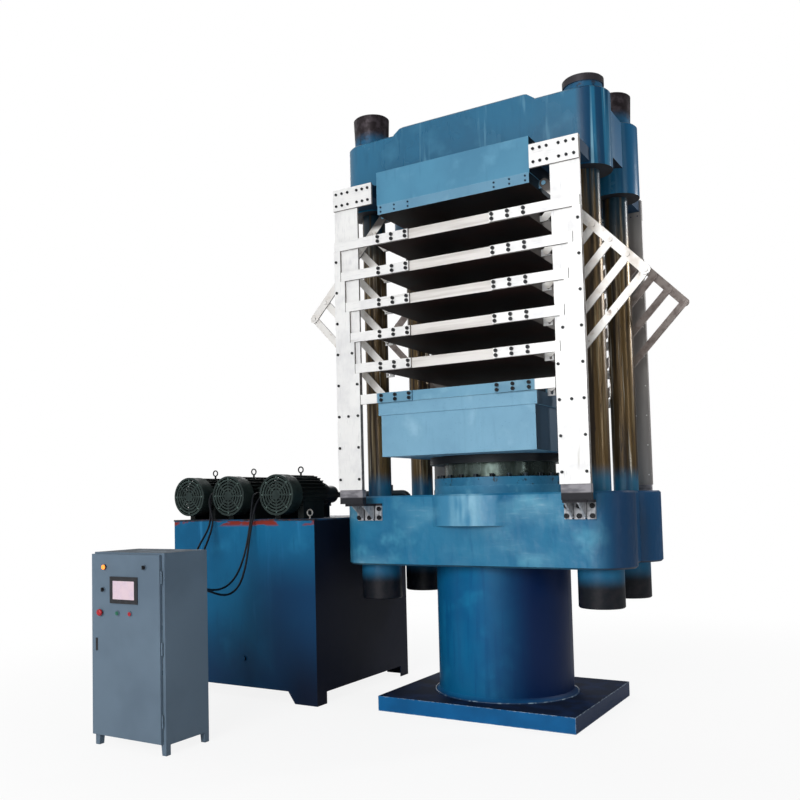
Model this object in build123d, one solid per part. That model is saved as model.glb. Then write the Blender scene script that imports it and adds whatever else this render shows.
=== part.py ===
from build123d import *
import math
import os

# Multi-daylight press for foamed sheet, with its hydraulic unit and control cabinet.
# Millimetres. The press axis is Z and the floor is z = 0. The operator stands at -Y,
# the hydraulic unit and the cabinet stand on the press's left, towards -X.

# Sizes shared by the whole machine
overrun = 20
pin_play = 0.05
seat_play = 0.5
pass_gap = 2
socket_share = 0.55
socket_depth_share = 0.5

# Base and main cylinder
base_width = 1640
base_collar_inset = 4
base_thick = 120
cylinder_r = 555
cylinder_wall = 85
cylinder_floor = 140
cylinder_weld = 32
cylinder_shoulder = 95
cylinder_shoulder_thick = 100
oil_port_r = 62
oil_port_reach = 48
oil_port_bore_r = 21
oil_port_z = 1050

# Columns and their nuts
column_r = 100
column_x = 945
column_y = 405
lower_nut_r = 171
lower_nut_height = 297
upper_nut_r = 157
upper_nut_foot_r = 147
tall_nut_height = 272
short_nut_height = 120
short_nut_rim = 60
nut_chamfer = 8

# Lower beam, a casting with a boss round each column and a collar for the cylinder
lower_beam_bottom = 1180
lower_beam_height = 575
lower_boss_r = 270
lower_end_recess = 115
collar_width = 189
collar_height = 250
beam_edge_chamfer = 14

# Upper beam, a casting with a crown raised along its middle
upper_body_height = 396
upper_boss_r = 200
upper_boss_drop = 208
upper_end_recess = 85
crown_rise = 55
crown_top_half = 545
crown_root_half = 620

# Heated plates
plate_half_x = 650
plate_half_y = 900
plate_thick = 80
open_gap = 180
closed_gap = 2
moving_plate_count = 5
channel_r = 14
channel_count = 6
channel_margin_share = 0.16
bolster_half_x = 655
bolster_inset_y = 40
bolster_thick = 275

# Moving table and ram
slab_half_x = 666
slab_inset_y = 8
slab_thick = 100
block_half_x = 647
block_inset_y = 20
block_thick = 335
ram_gap = 5
ram_head_overhang = 120
ram_head_thick = 64
ram_show = 117
ram_floor_gap = 40

# Gland on top of the cylinder
ring_thick = 67
bush_thick = 60
gland_bolt_count = 24
gland_bolt_inset = 43
wiper_width = 22
wiper_height = 16
wiper_groove = 8

# Guides, steps and arms
guide_inner_x = 822
guide_outer_x = 1045
guide_face_inset = 2
guide_thick = 20
guide_foot_rise = 53
guide_head_rise = 117
arm_thick = 20
arm_height = 78
arm_inner_x = 348
arm_side_gap = 5
arm_rest_gap = 0.5
first_step_width = 60
step_growth = 40
head_plate_drop = 75
head_plate_thick = 20
head_plate_inner_x = 674
head_block_rise = 14
head_block_inset = 16
foot_block_height = 114
foot_block_inset = 4
foot_block_back = 48
foot_block_reach = 10
bracket_inner_x = 775
bracket_outer_x = 1005
bracket_drop = 203
bracket_wall = 20
bracket_seat_inset = 8
gusset_thick = 12
gusset_shares = (0.29, 0.71)

# Screws: head radius, head height, shank radius and grip
arm_screw_head_r = 14
arm_screw_head = 15
arm_screw_shank_r = 8
arm_screw_grip = 60
arm_screw_xs = (370, 495, 620)
arm_screw_half_z = 18
top_screw_head_r = 8
top_screw_head = 5
top_screw_shank_r = 5
guide_screw_head_r = 11
guide_screw_head = 9
guide_screw_shank_r = 6
guide_screw_margin = 22
head_screw_rows_share = 0.22
head_screw_shares = (0.09, 0.24, 0.39, 0.63, 0.77, 0.91)
bracket_screw_head_r = 19
bracket_screw_head = 14
bracket_screw_shank_r = 9
bracket_screw_rows_share = 0.2
bracket_screw_shares = (0.08, 0.49, 0.92)
gland_screw_head_r = 20
gland_screw_head = 28
gland_screw_shank_r = 12
gland_screw_grip = 90

# Opening linkage: a lever on each corner and one link from it to each plate
linkage_x = 699
lever_pin_pitch = 177
lever_width = 70
link_width = 60
bar_thick = 12
linkage_face_y = 676
linkage_pin_r = 10
linkage_head_r = 17
linkage_head = 7
lug_thick = 14
lug_half_width = 24
lug_edge = 8
top_lug_half = 26
top_boss_r = 20
top_head_gap = 0.5

# Oil tank
tank_left = -2918
tank_right = -1337
tank_front = -863
tank_back = 764
tank_top = 1560
tank_bottom = 100
tank_wall = 8
tank_foot_length = 300
tank_foot_slope = 70
lid_thick = 13
lid_overhang = 5
drain_x = -2110
drain_z = 345
drain_r = 22
drain_reach = 18
eye_ring_r = 26
eye_wire_r = 6
eye_stem = 30
eye_inset = 60
breather_r = 42
breather_height = 90
breather_x = -2780
breather_y = 560

# Motors and pumps, laid along Y with the fan cowls to the front
left_motor_x = -2760
middle_motor_x = -2290
right_motor_x = -1750
motor_box_side_signs = (1, 1, -1)
motor_axis_height = 215
motor_front_y = -835
motor_body_r = 150
motor_bore_r = 112
motor_body_length = 480
motor_end_wall = 26
fin_count = 28
fin_thick = 6
cowl_r = 180
cowl_wall = 4
cowl_length = 150
cowl_overlap = 30
cowl_slot_count = 5
cowl_rib_count = 4
cowl_rib_width = 12
cowl_hub_r = 30
shaft_r = 25
shaft_reach = 80
rotor_gap = 0.6
rotor_margin = 50
fan_hub_r = 42
fan_hub_length = 56
fan_tip_r = 158
fan_blade_thick = 6
fan_blade_count = 7
fan_blade_tilt = 28
fan_clearance = 26
foot_rail_width = 60
foot_rail_spread = 125
foot_rail_length = 330
box_depth = 88
box_length = 150
box_height = 120
box_rise = 20
box_start = 190
gland_place_share = 0.65
gland_spread = 22
motor_eye_start = 210
motor_eye_pad = 18
motor_eye_pad_top = 172
bell_r = 112
bell_bore_r = 62
bell_length = 120
pump_r = 82
pump_length = 180
pump_port_share = 0.5
suction_r = 30
discharge_r = 21
main_pipe_r = 30
main_pipe_gap = 87
main_pipe_drop_x = -1240
main_pipe_bend = 75
pipe_overhang = 40
valve_block_x = -1545
valve_block_width = 170
valve_block_depth = 160
valve_block_height = 300

# Control cabinet
cabinet_left = -2123
cabinet_right = -1437
cabinet_front = -2588
cabinet_back = -2140
cabinet_bottom = 70
cabinet_top = 1385
cabinet_wall = 3
cabinet_flange = 25
cabinet_foot = 45
cabinet_foot_taper = 8
door_left = -2129
door_right = -1463
door_bottom = 78
door_top = 1372
door_thick = 22
door_wall = 3
door_gap = 2
hinge_r = 6
hinge_pin_r = 3
hinge_gap = 6.4
hinge_height = 90
hinge_play = 0.4
hinge_shares = (0.12, 0.5, 0.88)
hinge_leaf_thick = 2
panel_inset = 40
panel_thick = 4
device_depth = 70
device_height = 110
device_widths = (150, 110, 200)
device_row_shares = (0.3, 0.55, 0.8)
latch_x = -2082
latch_z = 722
latch_width = 24
latch_height = 92
latch_depth = 9
latch_rim = 10
latch_side_gap = 0.5
latch_barrel_r = 3
latch_pin_r = 1.5
latch_pin = 4
latch_thick = 4

# Things on the cabinet door
screen_x = -1805
screen_z = 1118
screen_width = 271
screen_height = 190
screen_frame = 26
screen_reach = 8
screen_depth = 45
screen_glass = 3
lamp_x = -1995
lamp_z = 1279
mode_switch_x = -2010
mode_switch_z = 1118
power_switch_x = -1605
power_switch_z = 1284
stop_x = -2031
start_x = -1869
off_x = -1745
button_z = 954
collar_ring_r = 19
collar_ring = 6
button_stem_r = 10
button_cap_r = 14
button_cap = 9
button_stem = 38
button_travel = 4
button_rest_gap = 0.3
mushroom_r = 24
mushroom_cap = 16
mushroom_stand = 12
lamp_r = 17
lamp_reach = 18
knob_r = 15
knob_reach = 18
knob_grip_width = 9
knob_grip_height = 14

# Motor cables from the terminal boxes to the back of the cabinet
cable_r = 9
gland_r = 17
gland_reach = 30
cable_inlets_x = (-1715, -1615, -1560, -1665)
cable_inlets_z = (1150, 1075, 1072, 1100)
cable_min_radius = 90
cable_straight = 60

# Places worked out from the sizes above
cylinder_shoulder_r = cylinder_r + cylinder_shoulder
collar_r = cylinder_r + collar_width
ram_r = cylinder_r - cylinder_wall - ram_gap
ram_head_r = ram_r + ram_head_overhang
gland_bolt_circle_r = cylinder_r - gland_bolt_inset
base_depth = 2 * (collar_r - base_collar_inset)
bolster_half_y = plate_half_y - bolster_inset_y
slab_half_y = plate_half_y - slab_inset_y
block_half_y = plate_half_y - block_inset_y
guide_face_y = plate_half_y - guide_face_inset
lower_beam_top = lower_beam_bottom + lower_beam_height
gland_top = lower_beam_top + 2 * ring_thick
ram_shoulder = gland_top + ram_show
ram_head_top = ram_shoulder + ram_head_thick
block_top = ram_head_top + block_thick
slab_top = block_top + slab_thick
ram_bottom = base_thick + cylinder_floor + ram_floor_gap
pitch = plate_thick + open_gap
step_thick = plate_half_y + arm_thick - guide_face_y
closed_pitch = plate_thick + closed_gap
row_count = moving_plate_count + 1
top_plate_z = slab_top + row_count * pitch + plate_thick / 2
upper_body_bottom = top_plate_z + plate_thick / 2 + bolster_thick
upper_beam_top = upper_body_bottom + upper_body_height
upper_boss_bottom = upper_body_bottom - upper_boss_drop
guide_bottom = lower_beam_top + guide_foot_rise
guide_top = upper_boss_bottom + guide_head_rise
head_block_bottom = upper_boss_bottom + head_block_rise
head_plate_bottom = head_block_bottom - head_plate_drop
foot_seat_top = guide_bottom - foot_block_height
bracket_bottom = lower_beam_top - bracket_drop
bracket_depth = guide_face_y - bracket_seat_inset - column_y - lower_boss_r
stroke = row_count * (pitch - closed_pitch)
open_angle = math.degrees(math.asin(pitch / 2 / lever_pin_pitch))
closed_angle = math.degrees(math.asin(closed_pitch / 2 / lever_pin_pitch))
lid_top = tank_top + lid_thick
motor_xs = (left_motor_x, middle_motor_x, right_motor_x)
motor_z = lid_top + motor_axis_height
motor_back_y = motor_front_y + cowl_length - cowl_overlap + motor_body_length
pump_face_y = motor_back_y + bell_length
pump_back_y = pump_face_y + pump_length
main_pipe_y = cylinder_r + oil_port_reach + main_pipe_gap
door_front = cabinet_front - door_gap - door_thick
STANDING = (Align.CENTER, Align.CENTER, Align.MIN)


def row_z(row):
    """Mid height of a heated plate, with row 0 fixed at the top."""
    return top_plate_z - row * pitch


def block(x0, x1, y0, y1, z0, z1):
    """Box between two corners."""
    return Pos((x0 + x1) / 2, (y0 + y1) / 2, (z0 + z1) / 2) * Box(abs(x1 - x0), abs(y1 - y0), abs(z1 - z0))


def post(radius, z0, z1, x=0, y=0):
    """Upright cylinder."""
    return Pos(x, y, z0) * Cylinder(radius, z1 - z0, align=STANDING)


def forward(x, y, z):
    """Place whose local Z points to the front, -Y."""
    return Pos(x, y, z) * Rot(90, 0, 0)


def backward(x, y, z):
    """Place whose local Z points to the back, +Y."""
    return Pos(x, y, z) * Rot(-90, 0, 0)


def rod(place, radius, length):
    """Cylinder from a place along its local Z."""
    return place * Cylinder(radius, length, align=STANDING)


def both_sides(piece):
    """A piece and its mirror image across the middle plane x = 0."""
    return [piece, piece.mirror(Plane.YZ)]


def front_and_back(piece):
    """A piece and its mirror image across the middle plane y = 0."""
    return [piece, piece.mirror(Plane.XZ)]


def four_corners(piece):
    """A piece of the front right corner, repeated on all four corners."""
    return [copy for half in both_sides(piece) for copy in front_and_back(half)]


def save(name, *pieces):
    """Write the solids of a node to its own file."""
    solids = [solid for piece in pieces for solid in piece.solids()]
    export_step(solids[0] if len(solids) == 1 else Compound(children=solids), f"parts/{name}.step")


def screw(head_r, head, shank_r, grip):
    """Socket head screw, seated at z = 0 with its head above."""
    socket = extrude(RegularPolygon(head_r * socket_share, 6), head * socket_depth_share)
    whole = Cylinder(head_r, head, align=STANDING) + Pos(0, 0, -grip) * Cylinder(shank_r, grip, align=STANDING)
    return whole - Pos(0, 0, head - head * socket_depth_share) * socket


def set_screws(places, head_r, head, shank_r, grip):
    """Screws of one size at many places."""
    pattern = screw(head_r, head, shank_r, grip)
    return [place * pattern for place in places]


def screw_holes(places, shank_r, grip):
    """Holes for the screws set at these places."""
    return [place * Pos(0, 0, -grip) * Cylinder(shank_r, grip + overrun, align=STANDING) for place in places]


def slab_on(plane, points, depth):
    """Flat piece with an outline on a plane, as thick as depth along the plane's normal."""
    return extrude(plane * Polygon(*points, align=None), depth, dir=plane.z_dir)


# Base, main cylinder and gland

def main_cylinder():
    """Cylinder with its shoulder and rear oil port, welded on its base plate."""
    bore_r = cylinder_r - cylinder_wall
    shoulder_bottom = lower_beam_top - cylinder_shoulder_thick
    whole = block(-base_width / 2, base_width / 2, -base_depth / 2, base_depth / 2, 0, base_thick)
    whole += post(cylinder_r, base_thick, lower_beam_top + ring_thick)
    whole += post(cylinder_shoulder_r, shoulder_bottom, lower_beam_top)
    whole += Pos(0, 0, base_thick) * Cone(cylinder_r + cylinder_weld, cylinder_r, cylinder_weld, align=STANDING)
    port_y = cylinder_r + oil_port_reach
    whole += rod(forward(0, port_y, oil_port_z), oil_port_r, port_y - bore_r)
    whole -= post(bore_r, base_thick + cylinder_floor, lower_beam_top + ring_thick + overrun)
    whole -= rod(forward(0, port_y + overrun, oil_port_z), oil_port_bore_r, port_y - bore_r + 2 * overrun)
    return whole - screw_holes(gland_places(), gland_screw_shank_r, gland_screw_grip)


def gland_places():
    return [Rot(0, 0, turn * 360 / gland_bolt_count) * Pos(gland_bolt_circle_r, 0, gland_top)
            for turn in range(gland_bolt_count)]


def gland_rings():
    """Gland ring, the bush that guides the ram below it and the wiper in its lip."""
    bottom = lower_beam_top + ring_thick
    groove_r = ram_r + pin_play + wiper_width - wiper_groove
    ring = post(cylinder_r, bottom, gland_top) - post(ram_r + pin_play, bottom - overrun, gland_top + overrun)
    ring -= post(groove_r, gland_top - wiper_height, gland_top + overrun)
    ring -= screw_holes(gland_places(), gland_screw_shank_r, gland_screw_grip)
    bush = post(cylinder_r - cylinder_wall, bottom - bush_thick, bottom)
    bush -= post(ram_r + pin_play, bottom - bush_thick - overrun, bottom + overrun)
    wiper = post(groove_r, gland_top - wiper_height, gland_top + wiper_groove)
    wiper -= post(ram_r + pin_play, gland_top - wiper_height - overrun, gland_top + wiper_groove + overrun)
    screws = set_screws(gland_places(), gland_screw_head_r, gland_screw_head, gland_screw_shank_r,
                        gland_screw_grip)
    return [ring, bush, wiper, *screws]


# Beams, columns and nuts

def beam_plan(boss_r, end_recess, bottom, top):
    """Beam body between the bosses, flush with them at front and back, set in at its ends."""
    body = block(-column_x, column_x, -column_y - boss_r, column_y + boss_r, bottom, top)
    return body + block(-column_x - boss_r + end_recess, column_x + boss_r - end_recess,
                        -column_y, column_y, bottom, top)


def column_places():
    return [(side * column_x, end * column_y) for side in (-1, 1) for end in (-1, 1)]


def column_holes(whole):
    for x, y in column_places():
        whole -= post(column_r + seat_play, lower_beam_bottom - overrun, upper_beam_top + overrun, x, y)
    return whole


def lower_beam():
    whole = beam_plan(lower_boss_r, lower_end_recess, lower_beam_bottom, lower_beam_top)
    for x, y in column_places():
        whole += post(lower_boss_r, lower_beam_bottom, lower_beam_top, x, y)
    whole += post(collar_r, lower_beam_top - collar_height, lower_beam_top)
    rims = whole.faces().sort_by(Axis.Z)
    whole = chamfer(rims[-1].outer_wire().edges() + rims[0].outer_wire().edges(), beam_edge_chamfer)
    whole -= post(cylinder_r + seat_play, lower_beam_bottom - overrun, lower_beam_top + overrun)
    shoulder_bottom = lower_beam_top - cylinder_shoulder_thick
    whole -= post(cylinder_shoulder_r + seat_play, shoulder_bottom, lower_beam_top + overrun)
    whole -= four_corners_holes(bracket_places(), bracket_screw_shank_r, bracket_wall * 2)
    return column_holes(whole)


def crown():
    """Raised middle of the upper beam, as deep as the beam, with sloped ends."""
    root = upper_beam_top - beam_edge_chamfer
    top = upper_beam_top + crown_rise
    front = column_y + upper_boss_r
    outline = [(-crown_root_half, root), (-crown_root_half, upper_beam_top), (-crown_top_half, top),
               (crown_top_half, top), (crown_root_half, upper_beam_top), (crown_root_half, root)]
    whole = slab_on(Plane.XZ.offset(-front), outline, 2 * front)
    return chamfer(whole.faces().sort_by(Axis.Z)[-1].edges(), beam_edge_chamfer)


def upper_beam():
    whole = beam_plan(upper_boss_r, upper_end_recess, upper_body_bottom, upper_beam_top)
    for x, y in column_places():
        whole += post(upper_boss_r, upper_boss_bottom, upper_beam_top, x, y)
    rims = whole.faces().sort_by(Axis.Z)
    whole = chamfer(rims[-1].outer_wire().edges(), beam_edge_chamfer)
    return column_holes(whole + crown())


def nut_height(x, y):
    """The front right column ends in a short rimmed nut, the others in tall tapered ones."""
    return short_nut_height if x > 0 and y < 0 else tall_nut_height


def columns():
    return [post(column_r, lower_beam_bottom - lower_nut_height, upper_beam_top + nut_height(x, y), x, y)
            for x, y in column_places()]


def round_nut(radius, z0, z1, x, y):
    nut = post(radius, z0, z1, x, y)
    nut = chamfer(nut.edges().filter_by(GeomType.CIRCLE), nut_chamfer)
    return nut - post(column_r + seat_play, z0 - overrun, z1 + overrun, x, y)


def tapered_nut(x, y):
    nut = Pos(x, y, upper_beam_top) * Cone(upper_nut_foot_r, upper_nut_r, tall_nut_height, align=STANDING)
    nut = chamfer(nut.edges().filter_by(GeomType.CIRCLE), nut_chamfer)
    top = upper_beam_top + tall_nut_height
    return nut - post(column_r + seat_play, upper_beam_top - overrun, top + overrun, x, y)


def rimmed_nut(x, y):
    top = upper_beam_top + short_nut_height
    nut = post(upper_nut_foot_r, upper_beam_top, top, x, y) + post(upper_nut_r, top - short_nut_rim, top, x, y)
    nut = chamfer(nut.faces().sort_by(Axis.Z)[-1].edges(), nut_chamfer)
    return nut - post(column_r + seat_play, upper_beam_top - overrun, top + overrun, x, y)


def column_nuts():
    nuts = []
    for x, y in column_places():
        nuts.append(round_nut(lower_nut_r, lower_beam_bottom - lower_nut_height, lower_beam_bottom, x, y))
        if nut_height(x, y) == short_nut_height:
            nuts.append(rimmed_nut(x, y))
        else:
            nuts.append(tapered_nut(x, y))
    return nuts


# Guides with their steps, heads and feet, drawn for the front right corner

def step_top(row):
    return row_z(row) - arm_height / 2 - arm_rest_gap


def step_edge(row):
    """Inner edge of the step that an arm rests on."""
    if row == moving_plate_count:
        return guide_inner_x
    return guide_outer_x - first_step_width - step_growth * (row - 1)


def step_outline():
    points = [(guide_outer_x, guide_bottom)]
    outer = guide_outer_x
    for row in range(1, row_count):
        points += [(outer, step_top(row)), (step_edge(row), step_top(row))]
        outer = step_edge(row)
    return points + [(guide_inner_x, guide_bottom)]


def step_screw_places():
    """One screw by the outer edge at each row, and more where the steps are wide."""
    places = []
    y = -plate_half_y - arm_thick
    row = 1
    while row_z(row) - pitch / 2 > guide_bottom + guide_screw_margin:
        z = row_z(row) - pitch / 2
        places.append(forward(guide_outer_x - guide_screw_margin, y, z))
        if row > row_count / 2:
            inner = step_edge(min(row, moving_plate_count)) + guide_screw_margin
            places.append(forward(inner, y, z))
            if row == row_count:
                places.append(forward((guide_inner_x + guide_outer_x) / 2, y, z))
        row += 1
    return places


def head_screw_places():
    places = []
    rise = guide_top - head_plate_bottom
    width = guide_outer_x - head_plate_inner_x
    for z_share in (head_screw_rows_share, 1 - head_screw_rows_share):
        for x_share in head_screw_shares:
            places.append(forward(guide_outer_x - width * x_share, -guide_face_y - head_plate_thick,
                                  head_plate_bottom + rise * z_share))
    return places


def bracket_places():
    """Screws that hold a foot bracket to the lower beam."""
    places = []
    width = bracket_outer_x - bracket_inner_x
    rise = foot_seat_top - bracket_wall - bracket_bottom
    for z_share in (bracket_screw_rows_share, 1 - bracket_screw_rows_share):
        for x_share in bracket_screw_shares:
            places.append(forward(bracket_inner_x + width * x_share, -column_y - lower_boss_r - bracket_wall,
                                  bracket_bottom + rise * z_share))
    return places


def four_corners_holes(places, shank_r, grip):
    holes = []
    for hole in screw_holes(places, shank_r, grip):
        holes += four_corners(hole)
    return holes


def guide_plate():
    plate = block(guide_inner_x, guide_outer_x, -guide_face_y + guide_thick, -guide_face_y, guide_bottom, guide_top)
    plate -= screw_holes(step_screw_places(), guide_screw_shank_r, step_thick + guide_thick)
    return plate - screw_holes(head_screw_places(), guide_screw_shank_r, head_plate_thick + guide_thick)


def step_plate():
    plate = slab_on(Plane.XZ.offset(guide_face_y), step_outline(), step_thick)
    return plate - screw_holes(step_screw_places(), guide_screw_shank_r, step_thick + guide_thick)


def head_plate():
    plate = block(head_plate_inner_x, guide_outer_x, -guide_face_y - head_plate_thick, -guide_face_y,
                  head_plate_bottom, guide_top)
    return plate - screw_holes(head_screw_places(), guide_screw_shank_r, head_plate_thick + guide_thick)


def head_block():
    """Block that carries the guide's head from the upper beam's boss."""
    front = guide_face_y - guide_thick
    whole = block(head_plate_inner_x + head_block_inset, guide_outer_x - head_block_inset,
                  -front, -column_y - upper_boss_r / 2, head_block_bottom, guide_top)
    inner = head_plate_inner_x + head_block_inset
    whole += block(inner, guide_inner_x, -guide_face_y, -front, head_block_bottom, guide_top)
    whole -= post(upper_boss_r, head_block_bottom - overrun, guide_top + overrun, column_x, -column_y)
    whole -= screw_holes(head_screw_places(), guide_screw_shank_r, head_plate_thick + guide_thick)
    return whole


def foot_block():
    return block(guide_inner_x + foot_block_inset, guide_outer_x - foot_block_inset, -guide_face_y - foot_block_reach,
                 -guide_face_y + foot_block_back, foot_seat_top, guide_bottom)


def foot_bracket():
    """Seat on gussets, with a back plate shaped to the lower beam's boss."""
    face = column_y + lower_boss_r
    seat_bottom = foot_seat_top - bracket_wall
    width = bracket_outer_x - bracket_inner_x
    whole = block(guide_inner_x + foot_block_inset, bracket_outer_x, -face - bracket_depth, -column_y,
                  seat_bottom, foot_seat_top)
    whole += block(bracket_inner_x, bracket_outer_x, -face - bracket_wall, -column_y, bracket_bottom,
                   foot_seat_top)
    for x_share in gusset_shares:
        side = [(-face, bracket_bottom), (-face - bracket_wall, bracket_bottom),
                (-face - bracket_depth, seat_bottom), (-face, seat_bottom)]
        x = bracket_inner_x + width * x_share - gusset_thick / 2
        whole += slab_on(Plane.YZ.offset(x), side, gusset_thick)
    whole -= post(lower_boss_r, bracket_bottom - overrun, foot_seat_top + overrun, column_x, -column_y)
    whole -= block(0, column_x, -face, 0, bracket_bottom - overrun, foot_seat_top + overrun)
    return whole - screw_holes(bracket_places(), bracket_screw_shank_r, bracket_wall * 2)


def guide_brackets():
    """Heads and feet of the guides, with their screws."""
    corner = [head_plate(), head_block(), foot_block(), foot_bracket()]
    corner += set_screws(head_screw_places(), guide_screw_head_r, guide_screw_head, guide_screw_shank_r,
                         head_plate_thick + guide_thick)
    corner += set_screws(bracket_places(), bracket_screw_head_r, bracket_screw_head, bracket_screw_shank_r,
                         bracket_wall * 2)
    return [piece for one in corner for piece in four_corners(one)]


def step_plates():
    corner = [step_plate()]
    corner += set_screws(step_screw_places(), guide_screw_head_r, guide_screw_head, guide_screw_shank_r,
                         step_thick + guide_thick)
    return [piece for one in corner for piece in four_corners(one)]


# Heated plates, their arms and lugs

def arm_screw_places(row, y):
    places = []
    for x in arm_screw_xs:
        for z in (-arm_screw_half_z, arm_screw_half_z):
            places.append(forward(x, -y, row_z(row) + z))
    return places


def heated_plate(row):
    """Plate with heating channels bored across it from side to side."""
    half_y = plate_half_y if row else bolster_half_y
    plate = block(-plate_half_x, plate_half_x, -half_y, half_y,
                  row_z(row) - plate_thick / 2, row_z(row) + plate_thick / 2)
    margin = 2 * half_y * channel_margin_share
    spacing = (2 * half_y - 2 * margin) / (channel_count - 1)
    channels = [Pos(0, -half_y + margin + spacing * place, row_z(row)) * Rot(0, 90, 0)
                * Cylinder(channel_r, 2 * plate_half_x + 2 * overrun) for place in range(channel_count)]
    depth = arm_screw_grip - arm_thick
    shank_r = arm_screw_shank_r if row else top_screw_shank_r
    holes = four_corners_holes(arm_screw_places(row, half_y), shank_r, depth)
    return plate - channels - holes


def arm(row):
    """Bar that reaches from the plate's front over the guide and rests on its step."""
    outer = guide_outer_x - arm_side_gap if row == 1 else step_edge(row - 1) - arm_side_gap
    bar = block(arm_inner_x, outer, -plate_half_y - arm_thick, -plate_half_y,
                row_z(row) - arm_height / 2, row_z(row) + arm_height / 2)
    return bar - screw_holes(arm_screw_places(row, plate_half_y + arm_thick), arm_screw_shank_r, arm_screw_grip)


def slack(row):
    """How far a link's lower pin moves in its slot while the levers swing at a steady ratio."""
    sweep = [math.radians(open_angle + (closed_angle - open_angle) * part / 20) for part in range(21)]
    low, high = math.sin(sweep[0]), math.sin(sweep[-1])
    sag = max(math.sin(turn) - low - (high - low) * part / 20 for part, turn in enumerate(sweep))
    return 2 * row * lever_pin_pitch * sag


def lug(row):
    """Ear on the plate's side with the upright slot that a link's pin runs in."""
    slot_r = linkage_pin_r + pin_play * 10
    top = row_z(row) + slot_r + lug_edge
    fall = slack(row)
    bottom = row_z(row) - fall - slot_r - lug_edge
    near = linkage_lug_y()
    ear = block(plate_half_x, linkage_x + lug_half_width, -near - lug_thick, -near, bottom, top)
    slot = rod(forward(linkage_x, -near + overrun, row_z(row)), slot_r, lug_thick + 2 * overrun)
    slot += rod(forward(linkage_x, -near + overrun, row_z(row) - fall), slot_r, lug_thick + 2 * overrun)
    slot += block(linkage_x - slot_r, linkage_x + slot_r, -near - lug_thick - overrun, -near + overrun,
                  row_z(row) - fall, row_z(row))
    ear -= block(0, slab_half_x, -slab_half_y, 0, 0, slab_top)
    return ear - slot


def linkage_lug_y():
    """Inner face of the lugs, behind the links, which are behind the levers."""
    return linkage_face_y - 2 * bar_thick - 2 * pass_gap - lug_thick


def top_lug():
    """Ear on the fixed plate with the headed stud that a lever turns on."""
    near = linkage_lug_y()
    boss_reach = linkage_face_y - bar_thick - pass_gap - near
    stud_reach = linkage_face_y + top_head_gap - near
    ear = block(plate_half_x, linkage_x + lug_half_width, -near - lug_thick, -near,
                row_z(0) - top_lug_half, row_z(0) + top_lug_half)
    ear += rod(forward(linkage_x, -near, row_z(0)), top_boss_r, boss_reach)
    ear += rod(forward(linkage_x, -near, row_z(0)), linkage_pin_r, stud_reach)
    return ear + rod(forward(linkage_x, -near - stud_reach, row_z(0)), linkage_head_r, linkage_head)


def top_fittings():
    """Linkage ears and screws of the fixed plate."""
    corner = [top_lug()]
    corner += set_screws(arm_screw_places(0, bolster_half_y), top_screw_head_r, top_screw_head,
                         top_screw_shank_r, arm_screw_grip - arm_thick)
    return [piece for one in corner for piece in four_corners(one)]


def plate_fittings(row):
    """Arms, their screws and the linkage lugs of one moving plate."""
    corner = [arm(row), lug(row)]
    corner += set_screws(arm_screw_places(row, plate_half_y + arm_thick), arm_screw_head_r, arm_screw_head,
                         arm_screw_shank_r, arm_screw_grip)
    return [piece for one in corner for piece in four_corners(one)]


# Ram and moving table

def ram():
    return post(ram_r, ram_bottom, ram_shoulder) + post(ram_head_r, ram_shoulder, ram_head_top)


def moving_table():
    slab = block(-slab_half_x, slab_half_x, -slab_half_y, slab_half_y, block_top, slab_top)
    return slab + block(-block_half_x, block_half_x, -block_half_y, block_half_y, ram_head_top, block_top)


# Linkage, drawn for the front right corner in the open position

def lever_pin(number):
    """X and Z of a pin on the lever, counted from its pivot."""
    reach = number * lever_pin_pitch
    turn = math.radians(open_angle)
    return linkage_x + reach * math.cos(turn), row_z(0) - reach * math.sin(turn)


def flat_bar(start, finish, width, face_y):
    """Round-ended bar between two points in X and Z, with its front at -face_y."""
    length = math.dist(start, finish)
    turn = math.degrees(math.atan2(finish[1] - start[1], finish[0] - start[0]))
    middle = ((start[0] + finish[0]) / 2, (start[1] + finish[1]) / 2)
    shape = Pos(*middle) * Rot(0, 0, turn) * SlotCenterToCenter(length, width)
    return extrude(Plane.XZ.offset(face_y - bar_thick) * shape, bar_thick)


def lever():
    """Lever with a headed stud for each link."""
    bar = flat_bar(lever_pin(0), lever_pin(row_count), lever_width, linkage_face_y)
    link_back = linkage_face_y - 2 * bar_thick - pass_gap
    for number in range(1, row_count + 1):
        x, z = lever_pin(number)
        bar += rod(forward(x, -link_back, z), linkage_pin_r, linkage_face_y - link_back)
        bar += rod(forward(x, -linkage_face_y, z), linkage_head_r, linkage_head)
    x, z = lever_pin(0)
    hole_y = linkage_face_y - bar_thick - overrun
    return bar - rod(forward(x, -hole_y, z), linkage_pin_r + pin_play, bar_thick + 2 * overrun)


def link(row):
    """Link from the lever to one plate, with the pin that runs in the plate's slot."""
    face = linkage_face_y - bar_thick - pass_gap
    back = face - bar_thick
    bar = flat_bar(lever_pin(row), (linkage_x, row_z(row)), link_width, face)
    x, z = lever_pin(row)
    bar -= rod(forward(x, -back + overrun, z), linkage_pin_r + pin_play, bar_thick + 2 * overrun)
    pin_start = linkage_lug_y() - lug_edge
    return bar + rod(forward(linkage_x, -pin_start, row_z(row)), linkage_pin_r, face - pin_start)


# Oil tank and lid

def tank_foot(y):
    """Skirt foot under a tank end, with its inner side cut on a slope."""
    outline = [(tank_right, 0), (tank_right, tank_bottom), (tank_right - tank_foot_length, tank_bottom),
               (tank_right - tank_foot_length + tank_foot_slope, 0)]
    return slab_on(Plane.XZ.offset(-y), outline, tank_wall)


def tank_middle_mirror(piece):
    """A piece and its mirror image across the tank's middle plane along X."""
    middle = Plane.YZ.offset((tank_left + tank_right) / 2)
    return [piece, piece.mirror(middle)]


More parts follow.
